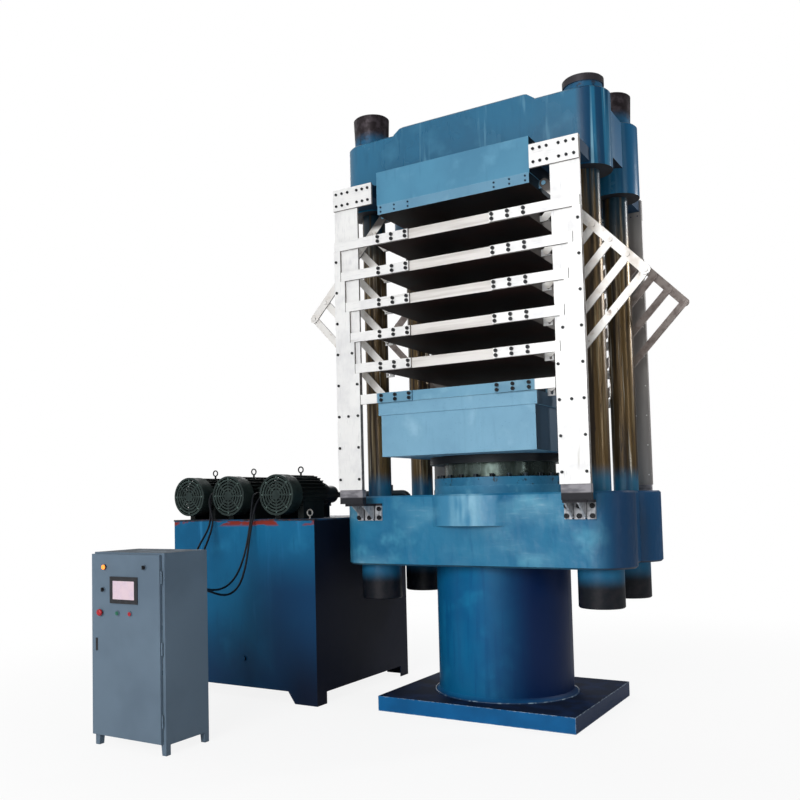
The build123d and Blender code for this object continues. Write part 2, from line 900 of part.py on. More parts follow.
def oil_tank():
    shell = block(tank_left, tank_right, tank_front, tank_back, tank_bottom, tank_top)
    shell -= block(tank_left + tank_wall, tank_right - tank_wall, tank_front + tank_wall,
                   tank_back - tank_wall, tank_bottom + tank_wall, tank_top + overrun)
    for y in (tank_front + tank_wall, tank_back):
        for foot in tank_middle_mirror(tank_foot(y)):
            shell += foot
    reach = tank_foot_length / 2
    for y0, y1 in ((tank_front, tank_front + reach), (tank_back - reach, tank_back)):
        for foot in tank_middle_mirror(block(tank_right - tank_wall, tank_right, y0, y1, 0, tank_bottom)):
            shell += foot
    plug = rod(forward(drain_x, tank_front, drain_z), drain_r, drain_reach)
    return [shell, plug]


def lifting_eye(x, y, z):
    """Ring on a stem, standing on z."""
    stem = post(eye_wire_r * 1.5, z, z + eye_stem, x, y)
    ring = Pos(x, y, z + eye_stem + eye_ring_r - eye_wire_r / 2) * Rot(90, 0, 0) * Torus(eye_ring_r, eye_wire_r)
    return stem + ring


def tank_lid():
    """Lid plate with three lifting eyes and the filler breather."""
    lid = block(tank_left - lid_overhang, tank_right + lid_overhang, tank_front - lid_overhang,
                tank_back + lid_overhang, tank_top, lid_top)
    eyes = [lifting_eye(tank_left + eye_inset, tank_back - eye_inset, lid_top),
            lifting_eye(tank_right - eye_inset, tank_back - eye_inset, lid_top),
            lifting_eye(tank_right - eye_inset, tank_front + eye_inset / 2, lid_top)]
    breather = post(breather_r / 2, lid_top, lid_top + breather_height / 2, breather_x, breather_y)
    breather += post(breather_r, lid_top + breather_height / 2, lid_top + breather_height, breather_x, breather_y)
    return [lid, *eyes, breather]


# Motors, drawn along local Z from the drive end to the fan

def motor_place(x):
    return forward(x, motor_back_y, motor_z)


def motor_body(box_side):
    """Finned frame with end walls, foot rails, terminal box and gland, fan end up."""
    whole = Cylinder(motor_body_r, motor_body_length, align=STANDING)
    fin_r = cowl_r - cowl_wall - seat_play
    for fin in range(fin_count):
        fin_box = Pos((motor_bore_r + fin_r) / 2, 0, 0) * Box(fin_r - motor_bore_r, fin_thick,
                                                              motor_body_length - motor_end_wall, align=STANDING)
        whole += Rot(0, 0, (fin + 1 / 2) * 360 / fin_count) * Pos(0, 0, motor_end_wall) * fin_box
    for side in (-1, 1):
        rail_start = (motor_body_length - foot_rail_length) / 2
        rail = block(side * foot_rail_spread - foot_rail_width / 2, side * foot_rail_spread + foot_rail_width / 2,
                     -motor_axis_height, 0, rail_start, rail_start + foot_rail_length)
        whole += rail
    reach = motor_body_r + box_depth
    whole += block(box_side * motor_bore_r, box_side * reach, box_rise - box_height / 2,
                   box_rise + box_height / 2, box_start, box_start + box_length)
    whole += block(-motor_eye_pad, motor_eye_pad, motor_bore_r, motor_eye_pad_top,
                   motor_eye_start - motor_eye_pad, motor_eye_start + motor_eye_pad)
    whole -= Pos(0, 0, motor_end_wall) * Cylinder(motor_bore_r, motor_body_length - 2 * motor_end_wall,
                                                   align=STANDING)
    whole -= Pos(0, 0, -overrun) * Cylinder(shaft_r + pin_play, motor_body_length + 2 * overrun, align=STANDING)
    return whole


def cable_exit(number):
    """Where a cable leaves its gland. The first motor's box has a second gland for the last cable."""
    motor = number % len(motor_xs)
    rise = 0
    if motor == 0:
        rise = -gland_spread if number == motor else gland_spread
    x = motor_xs[motor] + motor_box_side_signs[motor] * (motor_body_r + box_depth * gland_place_share)
    return x, motor_back_y - box_start - box_length - gland_reach, motor_z + box_rise + rise


def motor_bodies():
    pieces = []
    for number, x in enumerate(motor_xs):
        pieces.append(motor_place(x) * motor_body(motor_box_side_signs[number]))
        pieces.append(lifting_eye(x, motor_back_y - motor_eye_start, motor_z + motor_eye_pad_top))
    for number in range(len(cable_inlets_x)):
        x, y, z = cable_exit(number)
        pieces.append(rod(forward(x, y + gland_reach, z), gland_r, gland_reach))
    return pieces


def fan_cowl():
    """Pressed cowl with a ringed grille at its front."""
    whole = Cylinder(cowl_r, cowl_length, align=STANDING)
    whole -= Cylinder(cowl_r - cowl_wall, cowl_length - cowl_wall, align=STANDING)
    span = (cowl_r - cowl_wall - cowl_hub_r) / (cowl_slot_count + 1 / 2)
    grille = []
    for ring in range(cowl_slot_count):
        inner = cowl_hub_r + span * (ring + 1 / 2)
        slot = Cylinder(inner + span / 2, cowl_wall * 2) - Cylinder(inner, cowl_wall * 2)
        for rib in range(cowl_rib_count):
            bar = Box(2 * cowl_r, cowl_rib_width, cowl_wall * 2)
            slot -= Rot(0, 0, rib * 180 / cowl_rib_count) * bar
        grille.append(Pos(0, 0, cowl_length) * slot)
    return whole - grille


def fan_cowls():
    place = motor_body_length - cowl_overlap
    cowl = fan_cowl()
    return [motor_place(x) * Pos(0, 0, place) * cowl for x in motor_xs]


def rotor():
    """Shaft, rotor core and fan in one turning piece."""
    start = -shaft_reach
    fan_start = motor_body_length + fan_clearance
    whole = Pos(0, 0, start) * Cylinder(shaft_r, fan_start + fan_hub_length - start, align=STANDING)
    core = motor_body_length - 2 * rotor_margin
    whole += Pos(0, 0, rotor_margin) * Cylinder(motor_bore_r - rotor_gap, core, align=STANDING)
    whole += Pos(0, 0, fan_start) * Cylinder(fan_hub_r, fan_hub_length, align=STANDING)
    blade_length = fan_tip_r - shaft_r
    blade = Pos(shaft_r + blade_length / 2, 0, fan_start + fan_hub_length / 2) * Rot(fan_blade_tilt, 0, 0)
    blade = blade * Box(blade_length, fan_blade_thick, fan_hub_length * math.cos(math.radians(fan_blade_tilt)))
    for turn in range(fan_blade_count):
        whole += Rot(0, 0, turn * 360 / fan_blade_count) * blade
    return whole


def pump_sets():
    """Bell housing, pump, suction pipe and discharge pipe behind each motor."""
    pieces = []
    for x in motor_xs:
        bell = rod(backward(x, motor_back_y, motor_z), bell_r, bell_length)
        bell -= rod(backward(x, motor_back_y - overrun, motor_z), bell_bore_r, bell_length + overrun)
        pump = rod(backward(x, pump_face_y, motor_z), pump_r, pump_length)
        port_y = pump_face_y + pump_length * pump_port_share
        pump += post(suction_r * 1.5, motor_z - pump_r - suction_r, motor_z, x, port_y)
        suction = post(suction_r, lid_top, motor_z - pump_r - suction_r, x, port_y)
        discharge = rod(backward(x, pump_back_y, motor_z), discharge_r, main_pipe_y - main_pipe_r - pump_back_y)
        pieces += [bell, pump, suction, discharge]
    return pieces


def main_pipe():
    """Pressure line from the pumps to the main cylinder, past the back of the press."""
    port_y = cylinder_r + oil_port_reach
    path = FilletPolyline((motor_xs[0] - pipe_overhang, main_pipe_y, motor_z),
                          (main_pipe_drop_x, main_pipe_y, motor_z),
                          (main_pipe_drop_x, main_pipe_y, oil_port_z),
                          (0, main_pipe_y, oil_port_z),
                          (0, port_y, oil_port_z), radius=main_pipe_bend)
    return sweep(Plane(path @ 0, z_dir=path % 0) * Circle(main_pipe_r), path)


def valve_block():
    whole = block(valve_block_x - valve_block_width / 2, valve_block_x + valve_block_width / 2,
                  main_pipe_y - valve_block_depth / 2, main_pipe_y + valve_block_depth / 2,
                  lid_top, lid_top + valve_block_height)
    bore = Pos(valve_block_x, main_pipe_y, motor_z) * Rot(0, 90, 0) * Cylinder(main_pipe_r, 2 * valve_block_width)
    return whole - bore


# Control cabinet

def cabinet_shell():
    shell = block(cabinet_left, cabinet_right, cabinet_front, cabinet_back, cabinet_bottom, cabinet_top)
    shell -= block(cabinet_left + cabinet_wall, cabinet_right - cabinet_wall, cabinet_front - overrun,
                   cabinet_back - cabinet_wall, cabinet_bottom + cabinet_wall, cabinet_top - cabinet_wall)
    frame = block(cabinet_left, cabinet_right, cabinet_front, cabinet_front + cabinet_wall,
                  cabinet_bottom, cabinet_top)
    frame -= block(cabinet_left + cabinet_flange, cabinet_right - cabinet_flange, cabinet_front - overrun,
                   cabinet_front + overrun, cabinet_bottom + cabinet_flange, cabinet_top - cabinet_flange)
    shell += frame
    for x, turn in ((cabinet_left, 1), (cabinet_right, -1)):
        for y, back in ((cabinet_front, 1), (cabinet_back, -1)):
            foot = [(x, 0), (x + turn * (cabinet_foot - cabinet_foot_taper), 0),
                    (x + turn * cabinet_foot, cabinet_bottom), (x, cabinet_bottom)]
            near = -y if back < 0 else -y - cabinet_foot
            shell += slab_on(Plane.XZ.offset(near), foot, cabinet_foot)
    return shell


def hinge_axis():
    """X and Y of the door's hinge line, just outside its right edge."""
    return door_right + hinge_gap, door_front + door_thick / 2


def hinge_feet():
    """Bottom of each hinge."""
    return [door_bottom + (door_top - door_bottom) * share - hinge_height / 2 for share in hinge_shares]


def fixed_hinges():
    """Lower knuckle and pin of each hinge, on a leaf that is fixed to the cabinet's front."""
    x, y = hinge_axis()
    pieces = []
    for z in hinge_feet():
        middle = z + hinge_height / 2
        knuckle = post(hinge_r, z, middle, x, y) + post(hinge_pin_r, middle, z + hinge_height, x, y)
        knuckle += block(x - hinge_leaf_thick / 2, x + hinge_leaf_thick / 2, y, cabinet_front, z, middle)
        pieces.append(knuckle)
    return pieces


def door_knuckles():
    """Upper knuckle of each hinge, on the door's edge and lifting off its pin."""
    x, y = hinge_axis()
    pieces = []
    for z in hinge_feet():
        bottom = z + hinge_height / 2 + hinge_play
        top = z + hinge_height
        knuckle = post(hinge_r, bottom, top, x, y)
        knuckle += block(door_right - door_wall, x, y - hinge_leaf_thick / 2, y + hinge_leaf_thick / 2, bottom, top)
        pieces.append(knuckle - post(hinge_pin_r + pin_play, bottom - overrun, top + overrun, x, y))
    return pieces


def cabinet_inside():
    """Mounting panel and the switchgear on it."""
    y = cabinet_back - cabinet_wall - panel_inset
    panel = block(cabinet_left + panel_inset, cabinet_right - panel_inset, y - panel_thick, y,
                  cabinet_bottom + panel_inset, cabinet_top - panel_inset)
    pieces = [panel]
    for x in (cabinet_left + 2 * panel_inset, cabinet_right - 2 * panel_inset):
        for z in (cabinet_bottom + 2 * panel_inset, cabinet_top - 2 * panel_inset):
            pieces.append(rod(backward(x, y, z), hinge_r, panel_inset))
    for share in device_row_shares:
        z = cabinet_bottom + (cabinet_top - cabinet_bottom) * share
        x = cabinet_left + 2 * panel_inset
        for width in device_widths:
            pieces.append(block(x, x + width, y - panel_thick - device_depth, y - panel_thick,
                                z, z + device_height))
            x += width + panel_thick
    return pieces


def cable_inlet(number):
    """Where a cable enters the gland on the cabinet's back."""
    return cable_inlets_x[number], cabinet_back + gland_reach, cable_inlets_z[number]


def cabinet_glands():
    return [rod(backward(x, cabinet_back, z), gland_r, gland_reach)
            for x, z in zip(cable_inlets_x, cable_inlets_z)]


def door_holes():
    """Holes in the door for the stems of everything that it carries."""
    holes = [rod(forward(x, door_front + door_thick, z), button_stem_r + seat_play, door_thick * 2)
             for x, z in ((stop_x, button_z), (start_x, button_z), (off_x, button_z),
                          (mode_switch_x, mode_switch_z), (power_switch_x, power_switch_z), (lamp_x, lamp_z))]
    inner_width = screen_width / 2 - screen_frame
    inner_height = screen_height / 2 - screen_frame
    holes.append(block(screen_x - inner_width, screen_x + inner_width, door_front - overrun,
                       door_front + door_thick + overrun, screen_z - inner_height, screen_z + inner_height))
    return holes


def button_collar(x, z, recess_r):
    """Ring round a stem on the door, with a recess for a cap if it has one."""
    ring = rod(forward(x, door_front, z), collar_ring_r, collar_ring)
    ring -= rod(forward(x, door_front + overrun, z), button_stem_r + pin_play, 2 * overrun)
    if recess_r:
        ring -= rod(forward(x, door_front - collar_ring / 2, z), recess_r, collar_ring)
    return ring


def latch_place(depth):
    """Middle of the latch's barrel, measured back from the door's front."""
    return Pos(latch_x, door_front + depth, latch_z + latch_height / 2 - latch_barrel_r - latch_side_gap)


def cabinet_door():
    """Pan-shaped door with the latch's pocket, its hinge knuckles and the button collars."""
    door = block(door_left, door_right, door_front, door_front + door_thick, door_bottom, door_top)
    door -= block(door_left + door_wall, door_right - door_wall, door_front + door_wall,
                  door_front + door_thick + overrun, door_bottom + door_wall, door_top - door_wall)
    half = latch_width / 2
    low = latch_z - latch_height / 2
    high = latch_z + latch_height / 2
    door += block(latch_x - half - latch_rim, latch_x + half + latch_rim, door_front,
                  door_front + latch_depth + latch_rim / 2, low - latch_rim, high + latch_rim)
    door -= block(latch_x - half, latch_x + half, door_front - overrun, door_front + latch_depth, low, high)
    pin = Cylinder(latch_pin_r + pin_play, latch_width + 2 * latch_pin)
    door -= latch_place(latch_barrel_r + latch_side_gap) * Rot(0, 90, 0) * pin
    door -= door_holes()
    for knuckle in door_knuckles():
        door += knuckle
    collars = [button_collar(x, button_z, button_cap_r + seat_play) for x in (start_x, off_x)]
    for x, z in ((stop_x, button_z), (mode_switch_x, mode_switch_z), (power_switch_x, power_switch_z)):
        collars.append(button_collar(x, z, 0))
    return [door, *collars]


def door_latch():
    """Paddle that lies flush in its pocket and swings out from its upper end."""
    width = latch_width - 2 * latch_side_gap
    place = latch_place(latch_barrel_r + latch_side_gap)
    barrel = Cylinder(latch_barrel_r, width) + Cylinder(latch_pin_r, latch_width + 2 * latch_pin - latch_side_gap)
    drop = latch_height - latch_barrel_r - 2 * latch_side_gap - latch_barrel_r
    paddle = block(-width / 2, width / 2, -latch_barrel_r, -latch_barrel_r + latch_thick, -drop, 0)
    return place * (Rot(0, 90, 0) * barrel + paddle)


def screen_unit():
    """Touch screen in its frame, and the signal lamp beside it."""
    frame = block(screen_x - screen_width / 2, screen_x + screen_width / 2, door_front - screen_reach,
                  door_front, screen_z - screen_height / 2, screen_z + screen_height / 2)
    inner_width = screen_width / 2 - screen_frame
    inner_height = screen_height / 2 - screen_frame
    frame -= block(screen_x - inner_width, screen_x + inner_width, door_front - screen_reach - overrun,
                   door_front - screen_reach + screen_glass, screen_z - inner_height, screen_z + inner_height)
    frame += block(screen_x - inner_width + seat_play, screen_x + inner_width - seat_play,
                   door_front - screen_reach + screen_glass, door_front + screen_depth,
                   screen_z - inner_height + seat_play, screen_z + inner_height - seat_play)
    glass = block(screen_x - inner_width, screen_x + inner_width, door_front - screen_reach,
                  door_front - screen_reach + screen_glass, screen_z - inner_height, screen_z + inner_height)
    lamp = rod(forward(lamp_x, door_front, lamp_z), collar_ring_r, collar_ring)
    lamp += rod(forward(lamp_x, door_front + button_stem, lamp_z), button_stem_r, button_stem)
    lens = rod(forward(lamp_x, door_front - collar_ring, lamp_z), lamp_r, lamp_reach - collar_ring)
    lens = fillet(lens.edges().sort_by(Axis.Y)[0], lamp_r / 3)
    return [frame, glass, lamp, lens]


def push_button(x):
    """Button cap in its collar, on a stem that passes the door."""
    reach = collar_ring / 2 + button_travel + button_rest_gap
    cap = rod(forward(x, door_front - reach, button_z), button_cap_r, button_cap - button_travel)
    return cap + rod(forward(x, door_front + button_stem, button_z), button_stem_r, button_stem + reach)


def emergency_stop():
    """Mushroom head on a stem that passes its collar."""
    stem_length = button_stem + collar_ring + mushroom_stand
    whole = rod(forward(stop_x, door_front + button_stem, button_z), button_stem_r, stem_length)
    head_y = door_front - collar_ring - mushroom_stand
    head = rod(forward(stop_x, head_y, button_z), mushroom_r, mushroom_cap)
    head = fillet(head.edges().sort_by(Axis.Y)[0], mushroom_cap * 2 / 3)
    return whole + head


def turn_switch(x, z):
    """Round knob with a raised grip across it, on a stem that passes its collar."""
    knob_y = door_front - collar_ring
    whole = rod(forward(x, door_front + button_stem, z), button_stem_r, button_stem + collar_ring)
    whole += rod(forward(x, knob_y, z), knob_r, knob_reach / 3)
    grip = block(x - knob_grip_width / 2, x + knob_grip_width / 2, knob_y - knob_reach, knob_y,
                 z - knob_grip_height, z + knob_grip_height)
    return whole + grip


# Motor cables

def cable_route(number):
    """Points that a cable runs through, chosen by hand between its two glands."""
    middles = (
        [(-2538, -745, 1776), (-2514, -810, 1742), (-2470, -868, 1674), (-2438, -908, 1585),
         (-2424, -950, 1500), (-2402, -1050, 1418), (-2348, -1180, 1345), (-2262, -1330, 1280),
         (-2150, -1490, 1225), (-2030, -1650, 1185), (-1905, -1800, 1162), (-1815, -1905, 1155),
         (-1748, -1982, 1151)],
        [(-2070, -740, 1795), (-2042, -795, 1752), (-2012, -845, 1678), (-1992, -888, 1580),
         (-1996, -920, 1440), (-2006, -962, 1275), (-2004, -1055, 1125), (-1982, -1190, 1040),
         (-1938, -1365, 1008), (-1862, -1570, 1020), (-1775, -1745, 1046), (-1695, -1885, 1065),
         (-1640, -1975, 1073)],
        [(-1961, -742, 1795), (-1966, -806, 1750), (-1966, -866, 1668), (-1957, -915, 1565),
         (-1953, -960, 1423), (-1938, -1010, 1286), (-1922, -1070, 1153), (-1908, -1160, 1026),
         (-1890, -1290, 966), (-1855, -1450, 966), (-1800, -1630, 1005), (-1722, -1785, 1038),
         (-1650, -1905, 1058), (-1588, -1980, 1068)],
        [(-2538, -745, 1820), (-2520, -812, 1790), (-2485, -868, 1725), (-2440, -900, 1652),
         (-2403, -915, 1572),
         (-2388, -955, 1485), (-2368, -1030, 1395), (-2330, -1130, 1312), (-2262, -1262, 1235),
         (-2155, -1420, 1172), (-2025, -1590, 1130), (-1890, -1750, 1108), (-1780, -1885, 1103),
         (-1700, -1978, 1101)],
    )[number]
    start = Vector(cable_exit(number))
    finish = Vector(cable_inlet(number))
    straight = Vector(0, cable_straight, 0)
    return [start, start - straight, *[Vector(*point) for point in middles], finish + straight, finish]


def cable_radii(points):
    """Largest bend that fits each corner of a route."""
    radii = []
    for before, here, after in zip(points, points[1:], points[2:]):
        run_in = here - before
        run_out = after - here
        turn = math.radians(run_in.get_angle(run_out))
        radii.append(0.45 * min(run_in.length, run_out.length) / math.tan(turn / 2))
    return radii


def motor_cable(number):
    points = cable_route(number)
    radii = cable_radii(points)
    path = FilletPolyline(*points, radius=radii)
    tube = sweep(Plane(path @ 0, z_dir=path % 0) * Circle(cable_r), path)
    share = tube.volume / (math.pi * cable_r ** 2 * path.length)
    print(f"cable {number + 1}: length {path.length:.0f}, smallest bend {min(radii):.0f}, "
          f"limit {cable_min_radius}, volume over section times length {share:.4f}")
    return tube


os.makedirs("parts", exist_ok=True)

save("main_cylinder", main_cylinder())
save("gland_ring", *gland_rings())
save("lower_beam", lower_beam())
save("upper_beam", upper_beam())
save("columns", *columns())
save("column_nuts", *column_nuts())
save("guide_plates", *four_corners(guide_plate()))
save("step_plates", *step_plates())
save("guide_brackets", *guide_brackets())
save("top_bolster", block(-bolster_half_x, bolster_half_x, -bolster_half_y, bolster_half_y,
                          upper_body_bottom - bolster_thick, upper_body_bottom))
save("top_hot_plate", heated_plate(0), *top_fittings())
save("ram", ram())
save("moving_table", moving_table())
save("table_hot_plate", heated_plate(row_count))
save("table_fittings", *plate_fittings(row_count))
for row in range(1, row_count):
    save(f"hot_plate_{row}", heated_plate(row))
    save(f"plate_fittings_{row}", *plate_fittings(row))
save("levers_right", *front_and_back(lever()))
save("levers_left", *front_and_back(lever().mirror(Plane.YZ)))
for row in range(1, row_count + 1):
    save(f"links_right_{row}", *front_and_back(link(row)))
    save(f"links_left_{row}", *front_and_back(link(row).mirror(Plane.YZ)))
save("oil_tank", *oil_tank())
save("tank_lid", *tank_lid())
save("motor_bodies", *motor_bodies())
save("fan_cowls", *fan_cowls())
one_rotor = rotor()
for number, x in enumerate(motor_xs):
    save(f"rotor_{number + 1}", motor_place(x) * one_rotor)
for number in range(len(cable_inlets_x)):
    save(f"motor_cable_{number + 1}", motor_cable(number))
save("pump_pipework", *pump_sets(), main_pipe(), valve_block())
save("cabinet_body", cabinet_shell(), *fixed_hinges(), *cabinet_inside(), *cabinet_glands())
save("cabinet_door", *cabinet_door())
save("door_latch", door_latch())
save("screen_unit", *screen_unit())
save("emergency_stop", emergency_stop())
save("start_button", push_button(start_x))
save("stop_button", push_button(off_x))
save("mode_switch", turn_switch(mode_switch_x, mode_switch_z))
save("power_switch", turn_switch(power_switch_x, power_switch_z))
print(f"stroke {stroke:.1f}, lever angle {open_angle:.3f} open and {closed_angle:.3f} closed, "
      f"slot travel {slack(1):.1f} to {slack(row_count):.1f}, hinge line {hinge_axis()}, latch {latch_place(0).position}")
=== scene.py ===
import math

import bmesh
import bpy
from mathutils import Matrix, Vector


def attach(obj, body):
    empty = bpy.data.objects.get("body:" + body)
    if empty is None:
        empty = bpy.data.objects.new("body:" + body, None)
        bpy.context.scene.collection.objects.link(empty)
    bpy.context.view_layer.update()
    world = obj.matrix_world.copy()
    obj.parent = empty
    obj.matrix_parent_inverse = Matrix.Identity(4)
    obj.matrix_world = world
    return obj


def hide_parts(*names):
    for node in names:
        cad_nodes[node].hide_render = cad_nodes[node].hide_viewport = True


# Looks of the multi-daylight press, its hydraulic unit and its control cabinet.
# Metres, in the CAD model's frame: Z up the press axis, the operator at -Y, the hydraulic unit at -X.

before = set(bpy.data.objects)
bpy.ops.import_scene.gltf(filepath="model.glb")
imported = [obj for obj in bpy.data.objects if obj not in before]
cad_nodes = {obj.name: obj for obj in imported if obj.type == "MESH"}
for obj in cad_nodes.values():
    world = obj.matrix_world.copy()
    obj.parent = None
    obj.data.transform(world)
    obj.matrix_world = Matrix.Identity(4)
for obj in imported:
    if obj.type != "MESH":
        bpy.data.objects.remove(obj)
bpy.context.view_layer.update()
mm = 0.001


# Camera, fitted to the straight edges of the photograph

image_side_px = 800
focal_px = 903.914
axis_px = (330, 450)
sensor_mm = 36
camera_place = (2.9362, -7.2618, 1.7202)
camera_turn_deg = 32.631
camera_rise_deg = 3.2471
camera_roll_deg = -1.1826


def set_camera():
    """Camera at the photograph's place, with its frame shifted as the photograph was cropped."""
    lens = bpy.data.cameras.new("camera")
    lens.lens = sensor_mm * focal_px / image_side_px
    lens.sensor_width = sensor_mm
    lens.shift_x = (image_side_px / 2 - axis_px[0]) / image_side_px
    lens.shift_y = (axis_px[1] - image_side_px / 2) / image_side_px
    lens.clip_end = 200
    camera = bpy.data.objects.new("camera", lens)
    turn = Matrix.Rotation(math.radians(camera_turn_deg), 4, "Z")
    rise = Matrix.Rotation(math.radians(90 + camera_rise_deg), 4, "X")
    roll = Matrix.Rotation(math.radians(camera_roll_deg), 4, "Z")
    camera.matrix_world = Matrix.Translation(camera_place) @ turn @ rise @ roll
    bpy.context.scene.collection.objects.link(camera)
    bpy.context.scene.camera = camera


set_camera()


# Motor cables, from the terminal boxes to the back of the cabinet

# Radius, real lengths, and the points that each cable is led along from its motor, in metres
cable_r = 9 * mm
cable_lengths = (1.965, 2.063, 2.072, 2.069)
cable_routes = (
    [(-2.5528, -0.605, 1.786), (-2.5528, -0.665, 1.786), (-2.538, -0.745, 1.776), (-2.514, -0.810, 1.742),
     (-2.470, -0.868, 1.674), (-2.438, -0.908, 1.585), (-2.424, -0.950, 1.500), (-2.402, -1.050, 1.418),
     (-2.348, -1.180, 1.345), (-2.262, -1.330, 1.280), (-2.150, -1.490, 1.225), (-2.030, -1.650, 1.185),
     (-1.905, -1.800, 1.162), (-1.815, -1.905, 1.155), (-1.748, -1.982, 1.151), (-1.715, -2.050, 1.150),
     (-1.715, -2.110, 1.150)],
    [(-2.0828, -0.605, 1.808), (-2.0828, -0.665, 1.808), (-2.070, -0.740, 1.795), (-2.042, -0.795, 1.752),
     (-2.012, -0.845, 1.678), (-1.992, -0.888, 1.580), (-1.996, -0.920, 1.440), (-2.006, -0.962, 1.275),
     (-2.004, -1.055, 1.125), (-1.982, -1.190, 1.040), (-1.938, -1.365, 1.008), (-1.862, -1.570, 1.020),
     (-1.775, -1.745, 1.046), (-1.695, -1.885, 1.065), (-1.640, -1.975, 1.073), (-1.615, -2.050, 1.075),
     (-1.615, -2.110, 1.075)],
    [(-1.9572, -0.605, 1.808), (-1.9572, -0.665, 1.808), (-1.961, -0.742, 1.795), (-1.966, -0.806, 1.750),
     (-1.966, -0.866, 1.668), (-1.957, -0.915, 1.565), (-1.953, -0.960, 1.423), (-1.938, -1.010, 1.286),
     (-1.922, -1.070, 1.153), (-1.908, -1.160, 1.026), (-1.890, -1.290, 0.966), (-1.855, -1.450, 0.966),
     (-1.800, -1.630, 1.005), (-1.722, -1.785, 1.038), (-1.650, -1.905, 1.058), (-1.588, -1.980, 1.068),
     (-1.560, -2.050, 1.072), (-1.560, -2.110, 1.072)],
    [(-2.5528, -0.605, 1.830), (-2.5528, -0.665, 1.830), (-2.538, -0.745, 1.820), (-2.520, -0.812, 1.790),
     (-2.485, -0.868, 1.725), (-2.440, -0.900, 1.652), (-2.403, -0.915, 1.572), (-2.388, -0.955, 1.485),
     (-2.368, -1.030, 1.395), (-2.330, -1.130, 1.312), (-2.262, -1.262, 1.235), (-2.155, -1.420, 1.172),
     (-2.025, -1.590, 1.130), (-1.890, -1.750, 1.108), (-1.780, -1.885, 1.103), (-1.700, -1.978, 1.101),
     (-1.665, -2.050, 1.100), (-1.665, -2.110, 1.100)],
)


def motor_cable(number, route):
    """One rubber cable that hangs from its motor to the cabinet."""
    line = bpy.data.curves.new(f"cable_{number}", "CURVE")
    line.dimensions = "3D"
    line.resolution_u = 8
    # With a depth of 1, the radius of each point is the cable's real one
    line.bevel_depth = 1
    line.bevel_resolution = 5
    spline = line.splines.new("NURBS")
    spline.points.add(len(route) - 1)
    for point, place in zip(spline.points, route):
        point.co = (*place, 1)
        point.radius = cable_r
    spline.order_u = 3
    spline.use_endpoint_u = True
    cable = bpy.data.objects.new(f"cable_{number}", line)
    bpy.context.scene.collection.objects.link(cable)
    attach(cable, "frame")
    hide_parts(f"motor_cable_{number}")
    return cable


cables = [motor_cable(number, route)
          for number, (route, length) in enumerate(zip(cable_routes, cable_lengths), 1)]


# Small pieces that the CAD solids don't carry

lamp_place = (-1.995, -2.629, 1.279)
lens_r = 17.5 * mm
lens_bulge = 9 * mm
weld_r = 589 * mm
weld_bead = 7 * mm
weld_height = 121 * mm


def piece_from(shape, name, body):
    """Makes an object of a finished bmesh and puts it on a body of the machine."""
    bmesh.ops.remove_doubles(shape, verts=shape.verts, dist=0.01 * mm)
    bmesh.ops.recalc_face_normals(shape, faces=shape.faces)
    mesh = bpy.data.meshes.new(name)
    shape.to_mesh(mesh)
    shape.free()
    for face in mesh.polygons:
        face.use_smooth = True
    piece = bpy.data.objects.new(name, mesh)
    bpy.context.scene.collection.objects.link(piece)
    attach(piece, body)


def lamp_lens():
    """Domed lens on the front of the signal lamp."""
    shape = bmesh.new()
    bmesh.ops.create_uvsphere(shape, u_segments=32, v_segments=20, radius=lens_r)
    bmesh.ops.scale(shape, verts=shape.verts, vec=(1, lens_bulge / lens_r, 1))
    bmesh.ops.translate(shape, verts=shape.verts, vec=lamp_place)
    piece_from(shape, "signal_lamp_lens", "door")


def foot_weld():
    """Weld bead where the cylinder's foot meets its base plate."""
    shape = bmesh.new()
    section = Matrix.Translation((weld_r, 0, weld_height)) @ Matrix.Rotation(math.pi / 2, 4, "X")
    bmesh.ops.create_circle(shape, segments=14, radius=weld_bead, matrix=section)
    bmesh.ops.spin(shape, geom=shape.verts[:] + shape.edges[:], cent=(0, 0, 0), axis=(0, 0, 1),
                   angle=2 * math.pi, steps=160, use_merge=True)
    piece_from(shape, "foot_weld", "frame")


lamp_lens()
foot_weld()


# Materials: a coat is what one finish shows, and layers put one coat over another

# Patterns have their real sizes, apart from grinding and turning lines, casting grain and the textures
# of paint, rubber and plastic. Those are too fine to show on a press 5 m high, so they are drawn as
# coarse as they need to be.

# How far a pattern is drawn out along X, Y and Z
even = (1, 1, 1)
upright = (1, 1, 12)
full_height = (1, 1, 40)
lengthways = (14, 1, 1)

# Share of a face's normal along an axis: where a coat starts to show on it and where it shows in full
turned_to = (0.5, 0.9)
turned_from = (-0.5, -0.9)
turned_up = (0.6, 0.95)
turned_down = (-0.5, -0.85)
turned_left = (-0.7, -0.95)
flat_right = (0.985, 0.998)
half_turned = (0.4, 0.6)


def linear(colour):
    """An sRGB hex colour as linear red, green, blue and alpha."""
    shares = [int(colour[place:place + 2], 16) / 255 for place in (1, 3, 5)]
    return tuple(share / 12.92 if share <= 0.04045 else ((share + 0.055) / 1.055) ** 2.4
                 for share in shares) + (1,)


def add(tree, kind, settings=None, links=None, output=0):
    """Adds one node, sets its settings and its inputs, and returns one of its outputs."""
    made = tree.nodes.new("ShaderNode" + kind)
    for name, value in (settings or {}).items():
        setattr(made, name, value)
    for name, value in (links or {}).items():
        if isinstance(value, bpy.types.NodeSocket):
            tree.links.new(value, made.inputs[name])
        else:
            made.inputs[name].default_value = value
    return made.outputs[output]


def coat(colour, roughness, metallic=0.0):
    """One finish: its colour, how rough it is and how much of it is bare metal."""
    return {"Base Color": linear(colour), "Roughness": roughness, "Metallic": metallic}


